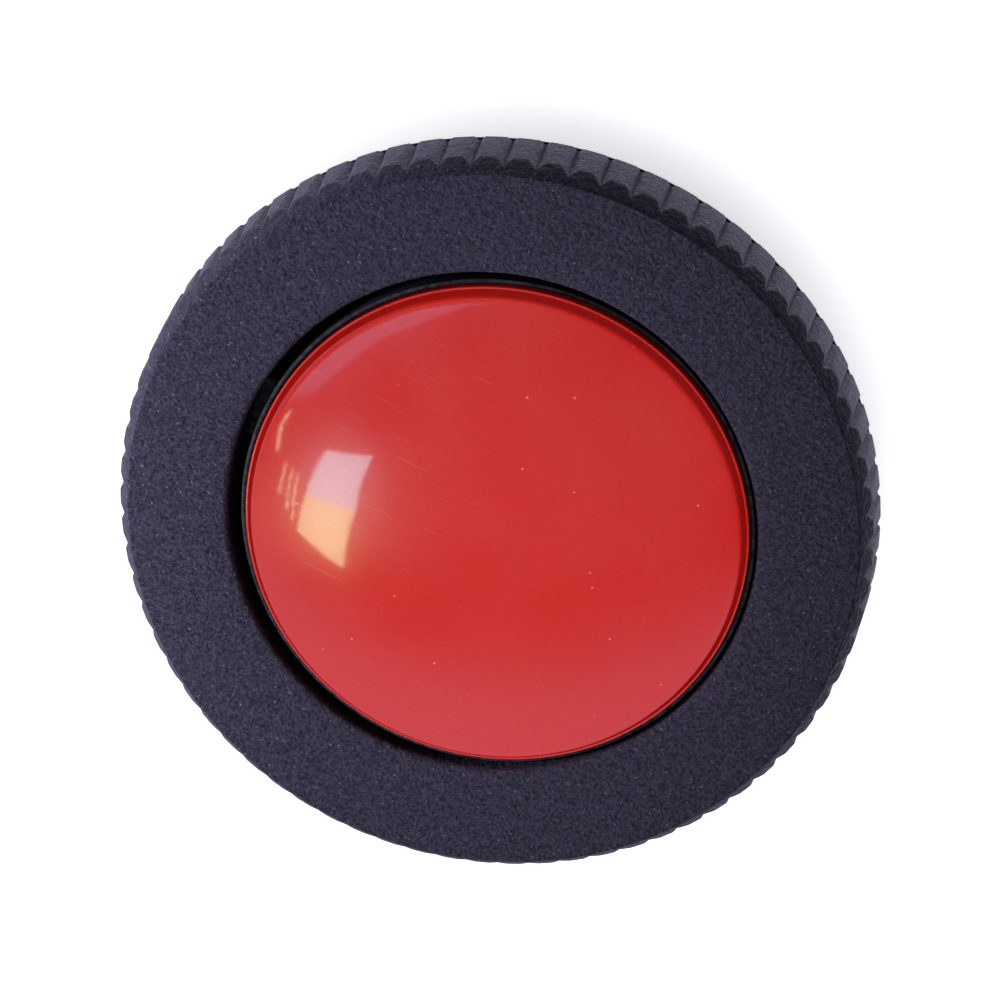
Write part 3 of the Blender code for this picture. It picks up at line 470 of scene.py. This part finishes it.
def ring_section(depth, low_depth, collar_bottom):
    """Section of the ring where its flutes are cut to these shares of their depth, at the top and bottom."""
    top = LAND_TOP_RADIUS - (LAND_TOP_RADIUS - VALLEY_TOP_RADIUS) * depth
    bottom = LAND_RADIUS - (LAND_RADIUS - VALLEY_RADIUS) * low_depth
    top_height = FACE - (top - FACE_EDGE_RADIUS) * CHAMFER_SLOPE
    corner = (0.12 + 0.1 * (1.0 - depth)) * MM
    points = [
        (OPENING, FACE, 0.5 * MM),
        (23.5 * MM, FACE),
        (26.2 * MM, FACE),
        (FACE_EDGE_RADIUS, FACE, 0.1 * MM),
        ((top + FACE_EDGE_RADIUS) / 2 + 0.01 * MM, (FACE + top_height) / 2 + 0.01 * MM),
        (top, top_height, corner),
        (top + (bottom - top) * 0.2, top_height + (RIM_TOP - top_height) * 0.2),
        (top + (bottom - top) * 0.55, top_height + (RIM_TOP - top_height) * 0.5),
        (bottom, RIM_TOP + 0.22 * MM, 0.1 * MM),
        (RIM_RADIUS - RIM_LINE, RIM_TOP + 0.06 * MM, 0.03 * MM),
        (RIM_RADIUS - RIM_LINE, RIM_TOP - 0.06 * MM, 0.03 * MM),
        (RIM_RADIUS, RIM_TOP - 0.1 * MM, 0.03 * MM),
        (RIM_RADIUS, RING_BOTTOM, 0.08 * MM),
        (RING_INNER, RING_BOTTOM, 0.08 * MM),
        (RING_INNER, FACE_UNDERSIDE, 0.3 * MM),
        (COLLAR_OUTER, FACE_UNDERSIDE, 0.3 * MM),
        (COLLAR_OUTER, collar_bottom, 0.06 * MM),
        (OPENING, collar_bottom, 0.12 * MM),
    ]
    return rounded(points)


def build_ring():
    """The fluted ring, with the collar's hook notches and the screw bosses."""
    bm = bmesh.new()
    columns = []
    per_flute = 24
    # Four notches in the collar, a quarter turn apart, let the carrier's hooks through.
    for step in range(FLUTES * per_flute):
        angle = FIRST_VALLEY + 2 * math.pi * step / (FLUTES * per_flute)
        quarter = math.remainder(angle, math.pi / 2)
        in_notch = abs(math.sin(quarter)) * (OPENING + COLLAR_OUTER) / 2 < NOTCH_HALF
        share = step / per_flute
        depths = groove(share, GROOVE_HALF_TOP), groove(share, GROOVE_HALF_BOTTOM)
        section = ring_section(*depths, NOTCH_TOP if in_notch else COLLAR_BOTTOM)
        columns.append([bm.verts.new((*around(radius, angle), height)) for radius, height in section])
    skin(bm, columns)
    boss_radius, boss_top, boss_bottom = 1.75 * MM, 15.0 * MM, 7.0 * MM
    boss = rounded([
        (0.0, boss_top),
        (boss_radius, boss_top),
        (boss_radius, boss_bottom, 0.1 * MM),
        (SCREW_BORE, boss_bottom, 0.1 * MM),
        (SCREW_BORE, 12.4 * MM),
        (0.0, 12.7 * MM),
    ])
    for angle in SCREW_ANGLES:
        add_turned(bm, boss, 32, around(SCREW_CIRCLE, angle))
    make_piece("ring_shell", to_mesh(bm, "ring_shell"), "case", "bezel_black", "bezel_ring")


# Button

def crown():
    """The dome's crown: its radius and the height of its centre."""
    shoulder = DOME_RADIUS - DOME_SHOULDER
    radius = (shoulder ** 2 + DOME_RISE ** 2 - DOME_SHOULDER ** 2) / (2 * (DOME_RISE - DOME_SHOULDER))
    return radius, DOME_EDGE + DOME_RISE - radius


def build_dome():
    """The glossy dome: a shallow crown, a steep band below it and a narrow ledge at its edge."""
    radius, centre = crown()
    tilt = math.asin(BRIM_RADIUS / radius)
    crown_steps = 29

    def on_crown(step):
        angle = tilt * step / crown_steps
        return radius * math.sin(angle), centre + radius * math.cos(angle)

    profile = [on_crown(step) for step in range(crown_steps)]
    profile += [tuple(point) for point in rounded([
        on_crown(28.2),  # just short of the brim, where its rounding starts
        (BRIM_RADIUS, centre + radius * math.cos(tilt), 0.2 * MM),
        (BRIM_RADIUS + 0.38 * MM, DOME_EDGE + 0.16 * MM, 0.05 * MM),
        (DOME_RADIUS, DOME_EDGE + 0.12 * MM, 0.08 * MM),
        (DOME_RADIUS, DOME_EDGE - 0.3 * MM),
    ], 4)]
    inner_edge = DOME_RADIUS - DOME_WALL
    inner = radius - DOME_WALL
    profile += [
        (DOME_RADIUS, DOME_BOTTOM + 0.1 * MM),
        (DOME_RADIUS - 0.1 * MM, DOME_BOTTOM),
        (inner_edge, DOME_BOTTOM),
    ]
    for step in range(10, -1, -1):
        at = inner_edge * step / 10
        profile.append((at, centre + math.sqrt(inner ** 2 - at ** 2)))
    bm = bmesh.new()
    add_turned(bm, profile, 192, (BUTTON_X, 0.0))
    make_piece("dome_shell", to_mesh(bm, "dome_shell"), "button", "dome_red", "button_dome")


def build_carrier():
    """The dome's carrier, whose thin lip shows around it, with its spring rim, plunger and hooks."""
    ring_inner, ring_outer, ring_top = 16.9 * MM, 18.1 * MM, 15.6 * MM
    lip_inner = 20.0 * MM
    skirt_inner, skirt_bottom = 19.1 * MM, 12.2 * MM
    spring_rim_outer, spring_rim_inner, spring_rim_bottom = 7.4 * MM, 6.6 * MM, 12.4 * MM
    plunger_radius, plunger_bottom = 2.2 * MM, 12.0 * MM
    carrier = rounded([
        (0.0, CARRIER_TOP),
        (ring_inner, CARRIER_TOP),
        (ring_inner, ring_top, 0.15 * MM),
        (ring_outer, ring_top, 0.15 * MM),
        (ring_outer, CARRIER_TOP),
        (lip_inner, CARRIER_TOP),
        (lip_inner, CARRIER_LIP, 0.12 * MM),
        (CARRIER_RADIUS, CARRIER_LIP, 0.12 * MM),
        (CARRIER_RADIUS, skirt_bottom, 0.2 * MM),
        (skirt_inner, skirt_bottom, 0.2 * MM),
        (skirt_inner, CARRIER_UNDERSIDE, 0.3 * MM),
        (spring_rim_outer, CARRIER_UNDERSIDE),
        (spring_rim_outer, spring_rim_bottom, 0.1 * MM),
        (spring_rim_inner, spring_rim_bottom, 0.1 * MM),
        (spring_rim_inner, CARRIER_UNDERSIDE),
        (plunger_radius, CARRIER_UNDERSIDE, 0.3 * MM),
        (plunger_radius, plunger_bottom, 0.2 * MM),
        (0.0, plunger_bottom),
    ])
    bm = bmesh.new()
    add_turned(bm, carrier, 192, (BUTTON_X, 0.0))
    hook = rounded([
        (19.3 * MM, 12.8 * MM),
        (20.1 * MM, 12.8 * MM),
        (20.1 * MM, 11.6 * MM),
        (21.6 * MM, 11.6 * MM, 0.1 * MM),
        (21.6 * MM, 11.2 * MM, 0.1 * MM),
        (20.5 * MM, 10.5 * MM, 0.2 * MM),
        (19.3 * MM, 10.5 * MM, 0.1 * MM),
    ])
    for quarter in range(4):
        add_extruded(bm, hook, 2.5 * MM, quarter * math.pi / 2, (BUTTON_X, 0.0))
    make_piece("carrier_shell", to_mesh(bm, "carrier_shell"), "button", "carrier_black", "button_carrier")


# Base

def add_cylinder(bm, radius, bottom, top, segments, centre):
    """Adds an upright cylinder."""
    add_turned(bm, [(0.0, bottom), (radius, bottom), (radius, top), (0.0, top)], segments, centre)


def add_arc(bm, inner, outer, start, end, bottom, top, centre):
    """Adds a curved bar between two radii and two angles."""
    steps = 12
    corners = []
    for step in range(steps + 1):
        angle = start + (end - start) * step / steps
        for radius, height in ((inner, bottom), (outer, bottom), (outer, top), (inner, top)):
            x, y = around(radius, angle)
            corners.append(bm.verts.new((centre[0] + x, centre[1] + y, height)))
    for step in range(steps):
        for side in range(4):
            here, there = step * 4, step * 4 + 4
            after = (side + 1) % 4
            near = [corners[here + side], corners[here + after]]
            far = [corners[there + after], corners[there + side]]
            bm.faces.new(near + far)
    bm.faces.new(corners[:4])
    bm.faces.new(corners[-4:])


def turned_mesh(name, points, segments, centre=(0.0, 0.0)):
    """A mesh turned from a rounded outline."""
    bm = bmesh.new()
    add_turned(bm, rounded(points), segments, centre)
    return to_mesh(bm, name)


def build_tray():
    """The base tray: screw columns, board posts, speaker fence, grille and the bayonet for the cap."""
    lip_outer, lip_bottom, lip_top = 27.3 * MM, 10.1 * MM, 11.1 * MM
    body = turned_mesh("tray_shell", [
        (0.0, BASE_OUTSIDE),
        (25.6 * MM, BASE_OUTSIDE, 0.5 * MM),
        (26.4 * MM, lip_bottom),
        (lip_outer, lip_bottom, 0.1 * MM),
        (lip_outer, lip_top, 0.1 * MM),
        (25.2 * MM, lip_top, 0.15 * MM),
        (24.4 * MM, BASE_INSIDE, 0.4 * MM),
        (0.0, BASE_INSIDE),
    ], 160)
    added = bmesh.new()
    for angle in SCREW_ANGLES:
        add_cylinder(added, 2.7 * MM, 1.6 * MM, 6.7 * MM, 40, around(SCREW_CIRCLE, angle))
    for side in (-1, 1):
        add_cylinder(added, 2.2 * MM, 2.1 * MM, 6.5 * MM, 40, (0.0, side * BOARD_SCREW_Y))
    fence_inner, fence_outer, fence_bottom, fence_top = 10.5 * MM, 11.3 * MM, 2.2 * MM, 4.6 * MM
    fence = [
        (fence_inner, fence_bottom),
        (fence_outer, fence_bottom),
        (fence_outer, fence_top),
        (fence_inner, fence_top),
    ]
    add_turned(added, fence, 72, (SPEAKER_X, 0.0))

    # The cutters start below the tray and end above its floor, and flare to a small countersink outside.
    below, above = 0.3 * MM, 3.1 * MM
    holes = bmesh.new()
    foot_flare, foot_hole, screw_seat = 2.35 * MM, 2.05 * MM, 4.4 * MM
    for angle in SCREW_ANGLES:
        add_turned(holes, [
            (0.0, 0.0),
            (foot_flare, 0.0),
            (foot_flare, 0.75 * MM),
            (foot_hole, 1.0 * MM),
            (foot_hole, screw_seat),
            (SCREW_BORE, screw_seat),
            (SCREW_BORE, 7.7 * MM),
            (0.0, 7.7 * MM),
        ], 40, around(SCREW_CIRCLE, angle))
    for side in (-1, 1):
        add_cylinder(holes, SCREW_BORE, 3.6 * MM, 7.0 * MM, 24, (0.0, side * BOARD_SCREW_Y))
    grille_flare, grille_hole = 1.0 * MM, 0.75 * MM
    for ring, count in GRILLE_RINGS:
        for index in range(count):
            x, y = around(ring, 2 * math.pi * index / count)
            add_turned(holes, [
                (0.0, below),
                (grille_flare, below),
                (grille_flare, 0.78 * MM),
                (grille_hole, 1.05 * MM),
                (grille_hole, above),
                (0.0, above),
            ], 20, (SPEAKER_X + x, y))
    cap_hole = bmesh.new()
    cap_flare, cap_opening, cap_bay, cap_ledge = 11.5 * MM, 11.3 * MM, 12.7 * MM, 1.7 * MM
    add_turned(cap_hole, [
        (0.0, below),
        (cap_flare, below),
        (cap_flare, 0.82 * MM),
        (cap_opening, 1.0 * MM),
        (cap_opening, cap_ledge),
        (cap_bay, cap_ledge),
        (cap_bay, above),
        (0.0, above),
    ], 96, (CELL_X, 0.0))
    notches = bmesh.new()
    notch_inner, notch_outer, notch_top = 10.5 * MM, 12.3 * MM, 1.8 * MM
    for angle in LUG_ANGLES:
        outline = [
            (notch_inner, below),
            (notch_outer, below),
            (notch_outer, notch_top),
            (notch_inner, notch_top),
        ]
        add_extruded(notches, outline, 2.8 * MM, angle - CAP_TURN, (CELL_X, 0.0))
    # Two engraved dots mark the cap's shut and open places.
    marks = bmesh.new()
    for angle in (math.radians(180), math.radians(180) - CAP_TURN):
        x, y = around(12.805 * MM, angle)
        add_cylinder(marks, 0.45 * MM, 0.5 * MM, 0.95 * MM, 20, (CELL_X + x, y))
    mesh = cut_mesh("tray_shell", body, [
        (added, "UNION"),
        (holes, "DIFFERENCE"),
        (cap_hole, "DIFFERENCE"),
        (notches, "DIFFERENCE"),
        (marks, "DIFFERENCE"),
    ])
    make_piece("tray_shell", mesh, "case", "tray_black", "base_tray")


def build_cap():
    """The twist cap, with its coin slot, its lugs and an engraved turning arrow."""
    engraved = 0.95 * MM
    body = turned_mesh("cap_shell", [
        (0.0, BASE_OUTSIDE),
        (9.7 * MM, BASE_OUTSIDE),
        (9.8 * MM, engraved),
        (10.1 * MM, engraved),
        (10.2 * MM, BASE_OUTSIDE),
        (CAP_RADIUS, BASE_OUTSIDE, 0.25 * MM),
        (CAP_RADIUS, BASE_INSIDE, 0.1 * MM),
        (0.0, BASE_INSIDE),
    ], 128, (CELL_X, 0.0))
    lugs = bmesh.new()
    lug_inner, lug_outer, lug_bottom, lug_top = 9.5 * MM, 12.2 * MM, 2.0 * MM, 2.55 * MM
    for angle in LUG_ANGLES:
        outline = [
            (lug_inner, lug_bottom),
            (lug_outer, lug_bottom),
            (lug_outer, lug_top),
            (lug_inner, lug_top),
        ]
        add_extruded(lugs, outline, 2.5 * MM, angle, (CELL_X, 0.0))
    coin_slot = bmesh.new()
    slot_half, slot_floor_half = 7.5 * MM, 6.4 * MM
    outline = [
        (-slot_half, 0.3 * MM),
        (slot_half, 0.3 * MM),
        (slot_half, 1.4 * MM),
        (slot_floor_half, 1.7 * MM),
        (-slot_floor_half, 1.7 * MM),
        (-slot_half, 1.4 * MM),
    ]
    add_extruded(coin_slot, outline, 0.9 * MM, 0.0, (CELL_X, 0.0))
    # The arrow points the way that the cap opens.
    arrow = bmesh.new()
    start, end = math.radians(110), math.radians(60)
    add_arc(arrow, 5.9 * MM, 6.3 * MM, start, end, 0.5 * MM, engraved, (CELL_X, 0.0))
    tip = []
    for radius, angle in ((5.3 * MM, end + 0.02), (6.9 * MM, end + 0.02), (6.1 * MM, end - 0.22)):
        x, y = around(radius, angle)
        tip.append((CELL_X + x, y))
    head = bmesh.new()
    low = [head.verts.new((x, y, 0.52 * MM)) for x, y in tip]
    high = [head.verts.new((x, y, engraved)) for x, y in tip]
    head.faces.new(low)
    head.faces.new(high)
    for index in range(3):
        after = (index + 1) % 3
        head.faces.new([low[index], low[after], high[after], high[index]])
    mesh = cut_mesh("cap_shell", body, [
        (lugs, "UNION"),
        (coin_slot, "DIFFERENCE"),
        (arrow, "DIFFERENCE"),
        (head, "DIFFERENCE"),
    ])
    make_piece("cap_shell", mesh, "battery_cap", "cap_black", "battery_cap")


def screw_mesh(name, head, head_inner, tip, radius, centre):
    """A pan-head screw with a cross recess and a thread, from the outer face of its head to its tip."""
    away = 1.0 if tip > head else -1.0
    body = bmesh.new()
    add_turned(body, rounded([
        (0.0, head),
        (SCREW_HEAD, head, 0.5 * MM),
        (SCREW_HEAD, head_inner, 0.06 * MM),
        (0.0, head_inner),
    ], 5), 40, centre)
    cross = bmesh.new()
    cross_mouth, cross_floor = head - away * 0.4 * MM, head + away * 0.85 * MM
    cross_turn = 0.4
    for angle in (0.0, math.pi / 2):
        outline = [
            (-1.05 * MM, cross_mouth),
            (1.05 * MM, cross_mouth),
            (0.55 * MM, cross_floor),
            (-0.55 * MM, cross_floor),
        ]
        add_extruded(cross, outline, 0.21 * MM, angle + cross_turn, centre)
    mesh = cut_mesh(name, to_mesh(body, name), [(cross, "DIFFERENCE")])

    # The threaded shank starts a little inside the head and narrows at its tip.
    bm = bmesh.new()
    bm.from_mesh(mesh)
    pitch, per_pitch, segments = 0.7 * MM, 6, 28
    thread_depth = 0.2
    start = head_inner - away * 0.15 * MM
    length = abs(tip - start)
    steps = int(length / pitch * per_pitch)
    columns = []
    ends = (bm.verts.new((*centre, start)), bm.verts.new((*centre, tip)))
    for segment in range(segments):
        turn = segment / segments
        column = [ends[0]]
        for step in range(steps + 1):
            along = 0.97 * length * step / steps
            phase = (along / pitch - turn) % 1.0
            taper = min(1.0, (length - along) / (1.0 * MM) + 0.25)
            ridge = 1.0 - thread_depth * (1.0 - max(0.0, 1.0 - abs(phase - 0.5) * 4))
            x, y = around(radius * ridge * taper, 2 * math.pi * turn)
            column.append(bm.verts.new((centre[0] + x, centre[1] + y, start + away * along)))
        column.append(ends[1])
        columns.append(column)
    skin(bm, columns, closed=False)
    return to_mesh(bm, name)


def build_screws_and_feet():
    """The case screws, each behind its rubber foot, and the board screws."""
    foot_radius, foot_top = 1.85 * MM, 2.3 * MM
    for number, angle in enumerate(SCREW_ANGLES, start=1):
        centre = around(SCREW_CIRCLE, angle)
        mesh = screw_mesh(f"case_screw_{number}_fine", 2.7 * MM, 4.1 * MM, 11.9 * MM, 1.0 * MM, centre)
        make_piece(f"case_screw_{number}_fine", mesh, "case", "screw_steel", f"case_screw_{number}")
        foot = turned_mesh(f"foot_{number}_fine", [
            (0.0, 0.0),
            (foot_radius, 0.0, 0.35 * MM),
            (foot_radius, foot_top, 0.1 * MM),
            (0.0, foot_top),
        ], 56, centre)
        make_piece(f"foot_{number}_fine", foot, "case", "foot_rubber", f"rubber_foot_{number}")
    for number, side in ((1, 1), (2, -1)):
        centre = (0.0, side * BOARD_SCREW_Y)
        mesh = screw_mesh(f"board_screw_{number}_fine", 9.4 * MM, 8.0 * MM, 4.0 * MM, 0.9 * MM, centre)
        make_piece(f"board_screw_{number}_fine", mesh, "case", "screw_steel", f"board_screw_{number}")


def build_spring():
    """The coil spring, with closed end turns."""
    turns, per_turn, sides = 4.5, 44, 12
    low, high, wire, circle = 8.3 * MM, 12.7 * MM, 0.3 * MM, 5.7 * MM
    flat = 0.09  # the share of the wire in each end turn, which climbs slowly
    count = int(turns * per_turn)
    path = []
    for step in range(count + 1):
        share = step / count
        climb = min(1.0, max(0.0, (share - flat) / (1.0 - 2 * flat)))
        climb = 0.12 * share + 0.88 * climb
        x, y = around(circle, 2 * math.pi * turns * share)
        path.append(Vector((x, y, low + (high - low) * climb)))
    bm = bmesh.new()
    rings = []
    for index, point in enumerate(path):
        along = (path[min(index + 1, count)] - path[max(index - 1, 0)]).normalized()
        outward = Vector((point.x, point.y, 0.0)).normalized()
        across = along.cross(outward).normalized()
        outward = across.cross(along)
        ring = []
        for side in range(sides):
            angle = 2 * math.pi * side / sides
            ring.append(bm.verts.new(point + wire * (math.cos(angle) * outward + math.sin(angle) * across)))
        rings.append(ring)
    for here, there in zip(rings, rings[1:]):
        for side in range(sides):
            after = (side + 1) % sides
            bm.faces.new([here[side], here[after], there[after], there[side]])
    bm.faces.new(rings[0])
    bm.faces.new(rings[-1])
    piece = make_piece("spring_coil", to_mesh(bm, "spring_coil"), "case", "spring_steel", "return_spring")
    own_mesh(piece)


build_ring()
build_dome()
build_carrier()
build_tray()
build_cap()
build_screws_and_feet()
build_spring()

# The CAD nodes that stay visible get the finish of their own slot.
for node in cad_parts.values():
    if node.hide_render:
        continue
    for slot in node.material_slots:
        wanted = slot.material.name.split(".")[0]
        if wanted in finishes:
            slot.material = finishes[wanted]


# ---------------------------------------------------------------- stage

AIM = Vector((0.0, 0.0, 0.018))  # the point that the lights shine at, just inside the dome's top
CARD_DISTANCE = 5.0
CARD_SPACING = 0.1


def towards(azimuth, elevation, distance):
    """The point at this distance from the dome, at an azimuth from +X and an elevation, in degrees."""
    a, e = math.radians(azimuth), math.radians(elevation)
    return AIM + distance * Vector((math.cos(a) * math.cos(e), math.sin(a) * math.cos(e), math.sin(e)))


def soft_light(name, azimuth, elevation, distance, side, energy, colour):
    """A square studio light that shines at the buzzer and doesn't show in its gloss."""
    light = bpy.data.lights.new(name, "AREA")
    light.shape = "RECTANGLE"
    light.size = light.size_y = side
    light.energy = energy
    light.color = colour
    made = bpy.data.objects.new(name, light)
    bpy.context.scene.collection.objects.link(made)
    made.location = towards(azimuth, elevation, distance)
    made.rotation_mode = "QUATERNION"
    made.rotation_quaternion = (AIM - made.location).to_track_quat("-Z", "Y")
    made.visible_glossy = False
    return made


def light_only(light, *names):
    """Lets a light or a glowing card light these objects only."""
    group = bpy.data.collections.new(light.name + "_subjects")
    for name in names:
        group.objects.link(bpy.data.objects[name])
    light.light_linking.receiver_collection = group


def point_along(points, share):
    """The point at a share of the way along an open line of points."""
    at = share * (len(points) - 1)
    index = min(int(at), len(points) - 2)
    return between(points[index], points[index + 1], at - index)


def between(first, last, share):
    """The numbers at a share of the way from one list to another."""
    return [a + (b - a) * share for a, b in zip(first, last)]


def edge_fade(share, first, last):
    """Brightness at a share of a card's width, with soft edges this wide at its two ends."""
    level = 1.0
    if first:
        level *= min(1.0, share / first)
    if last:
        level *= min(1.0, (1.0 - share) / last)
    return level * level * (3.0 - 2.0 * level)


def card_finish(name, strength):
    """A see-through glow, so that a card adds to what lies behind it. Its colour comes from its points."""
    made = bpy.data.materials.new(name)
    made.use_nodes = True
    tree = made.node_tree
    tree.nodes.clear()
    colour = put(tree, "Attribute", attribute_name="glow").outputs["Color"]
    glow = put(tree, "Emission", {"Strength": strength}, {"Color": colour})
    both = put(tree, "AddShader", {}, {0: glow.outputs[0], 1: put(tree, "BsdfTransparent").outputs[0]})
    out = put(tree, "OutputMaterial")
    tree.links.new(both.outputs[0], out.inputs[0])
    return made


cards = []


def light_card(name, colour, low, high, strength, fade, steps=16):
    """A glowing card that only the gloss of the dome and carrier shows.

    Its lower and upper edges run through the (azimuth, elevation) points of low and high, seen from the dome.
    fade is how much of its width dims out at the first end, the last end, the lower edge and the upper edge.
    """
    bm = bmesh.new()
    glow_layer = bm.verts.layers.float_color.new("glow")
    # Each card has a distance of its own, so that no two lie in one surface.
    distance = CARD_DISTANCE - CARD_SPACING * len(cards)
    rows = []
    for up in range(steps + 1):
        v = up / steps
        row = []
        for side in range(steps + 1):
            u = side / steps
            place = between(point_along(low, u), point_along(high, u), v)
            vertex = bm.verts.new(towards(*place, distance))
            level = edge_fade(u, fade[0], fade[1]) * edge_fade(v, fade[2], fade[3])
            vertex[glow_layer] = (*shade(colour, level), 1.0)
            row.append(vertex)
        rows.append(row)
    for here, there in zip(rows, rows[1:]):
        for index in range(steps):
            bm.faces.new([here[index], here[index + 1], there[index + 1], there[index]])
    mesh = bpy.data.meshes.new(name)
    bm.to_mesh(mesh)
    bm.free()
    mesh.materials.append(card_finish(name, strength))
    card = add_object(name, mesh)
    card.visible_camera = False
    card.visible_shadow = False
    card.visible_diffuse = False
    light_only(card, "dome_shell", "carrier_shell")
    cards.append(card)


def build_floor():
    """A pale paper floor. Bounced light sees only the paper near the buzzer, as if a dark room lay beyond."""
    bm = bmesh.new()
    add_turned(bm, [(0.0, 0.0), (0.4, 0.0), (4.0, 0.0)], 96)
    floor = add_object("floor", to_mesh(bm, "floor"))
    material, tree, shader = new_material("floor_paper", (0.86, 0.86, 0.87), 0.85)
    where = place_of(tree)
    fibres = noise_of(tree, where, 0.4 * MM, 3.0)
    paper = colour_mix(tree, spread(tree, fibres, 0.3, 0.7), (0.85, 0.85, 0.86), (0.87, 0.87, 0.88))
    tree.links.new(paper, shader.inputs["Base Color"])
    tree.links.new(paper, shader.inputs["Emission Color"])
    shader.inputs["Emission Strength"].default_value = 0.72
    reach = put(tree, "VectorMath", links={"Vector": where}, operation="LENGTH").outputs["Value"]
    bounce = colour_mix(tree, spread(tree, reach, 0.04, 0.09), (0.92, 0.92, 1.25), (0.04, 0.04, 0.055))
    glow = put(tree, "Emission", {"Strength": 1.0}, {"Color": bounce})
    seen = put(tree, "LightPath").outputs["Is Camera Ray"]
    mixed = put(tree, "MixShader", {}, {0: seen, 1: glow.outputs[0], 2: shader.outputs[0]})
    tree.links.new(mixed.outputs[0], tree.nodes["Material Output"].inputs["Surface"])
    floor.data.materials.append(material)


def build_world():
    """A pale backdrop for the camera, and a dim room for everything else."""
    world = bpy.data.worlds.new("studio")
    bpy.context.scene.world = world
    world.use_nodes = True
    tree = world.node_tree
    seen = put(tree, "LightPath").outputs["Is Camera Ray"]
    sky = colour_mix(tree, seen, (0.06, 0.06, 0.075), (0.88, 0.88, 0.89))
    tree.links.new(sky, tree.nodes["Background"].inputs["Color"])


def build_lights():
    """The soft lights, each on its own pieces, so that dome and ring can be balanced apart."""
    others = [item.name for item in bpy.data.objects if item.type == "MESH"]
    others = [name for name in others if name not in ("dome_shell", "floor")]
    overhead = soft_light("overhead", 60, 80, 0.9, 1.3, 15.0, (1.0, 0.98, 1.0))
    light_only(overhead, "dome_shell", "floor")
    top = soft_light("top", 90, 62, 0.8, 0.7, 4.4, (1.0, 0.94, 1.0))
    light_only(top, *others)
    key = soft_light("key", 20, 30, 0.13, 0.03, 0.36, (1.0, 0.97, 1.0))
    light_only(key, "ring_shell", "carrier_shell")
    low_side = soft_light("side", 8, 5, 0.4, 0.06, 0.7, (0.85, 0.90, 1.0))
    light_only(low_side, "ring_shell")


def build_reflections():
    """What the gloss reflects: a window in two parts, stripes beside it, an arc and a low haze."""
    cool, warm, hazy, deep = (0.43, 0.87, 1.0), (0.73, 1.0, 0.57), (0.35, 0.75, 0.95), (0.15, 0.6, 1.0)
    light_card("window_cool", cool, [(44.1, 46.0), (51.6, 54.2)], [(33.7, 52.2), (36.6, 61.1)], 8.3,
               (0.04, 0.03, 0.0, 0.06))
    light_card("window_warm", warm, [(51.5, 41.2), (63.7, 45.1)], [(44.1, 46.0), (51.6, 54.2)], 8.4,
               (0.04, 0.03, 0.05, 0.0))
    stripes = [((43.9, 40.9), (36.3, 44.6)), ((47.6, 41.1), (37.6, 45.5)), ((50.2, 41.2), (38.6, 46.5))]
    half = 0.35
    for number, (start, end) in enumerate(stripes):
        low = [(start[0], start[1] - half), (start[0], start[1] + half)]
        high = [(end[0], end[1] - half), (end[0], end[1] + half)]
        light_card(f"window_stripe_{number}", warm, low, high, 6.0, (0.2, 0.2, 0.1, 0.2), steps=8)
    light_card("low_haze", hazy,
               [(-40, 4), (20, 4), (80, 4), (130, 4), (175, 4)],
               [(-40, 40), (20, 42), (80, 50), (130, 60), (175, 55)],
               0.72, (0.15, 0.12, 0.0, 0.45), steps=32)
    light_card("arc", deep,
               [(27, 43), (17, 47), (8, 51), (-2, 55), (-17, 60), (-31, 64), (-60, 67)],
               [(21, 50), (16, 53), (9, 56), (0, 59), (-14, 63.5), (-29, 66), (-60, 69)],
               1.7, (0.12, 0.2, 0.04, 0.2), steps=32)
    light_card("arc_rim", cool,
               [(27, 42.7), (17, 46.7), (8, 50.7), (-2, 54.7), (-17, 59.7), (-31, 63.8), (-60, 66.9)],
               [(27, 43.7), (17, 47.7), (8, 51.7), (-2, 55.6), (-17, 60.5), (-31, 64.4), (-60, 67.3)],
               1.6, (0.1, 0.25, 0.3, 0.4), steps=32)
    light_card("glint", warm,
               [(35.2, 42.3), (28.9, 44.1), (24.6, 46.3)],
               [(35.2, 42.9), (28.9, 44.7), (24.6, 46.8)],
               9.0, (0.1, 0.2, 0.3, 0.3), steps=12)


def build_camera():
    """A camera that looks down at the face, tilted about X, rolled about its view and a little off centre."""
    tilt, roll = math.radians(23.4092), math.radians(-157.831)
    distance, off_right, off_up = 0.4347, 0.714 * MM, 2.098 * MM
    forward = Vector((0.0, math.sin(tilt), -math.cos(tilt)))
    across = Vector((0.0, math.cos(tilt), math.sin(tilt)))
    right = math.cos(roll) * Vector((1.0, 0.0, 0.0)) + math.sin(roll) * across
    up = right.cross(forward)
    lens = bpy.data.cameras.new("camera")
    lens.sensor_width = 36.0
    lens.lens = 200.65
    lens.clip_start, lens.clip_end = 0.01, 20.0
    camera = bpy.data.objects.new("camera", lens)
    bpy.context.scene.collection.objects.link(camera)
    eye = Vector((0.0, 0.0, FACE)) + off_right * right + off_up * up - distance * forward
    turn = Matrix((right, up, -forward)).transposed().to_4x4()
    camera.matrix_world = Matrix.Translation(eye) @ turn
    bpy.context.scene.camera = camera


build_floor()
build_world()
build_lights()
build_reflections()
build_camera()
bpy.context.scene.view_settings.view_transform = "Standard"
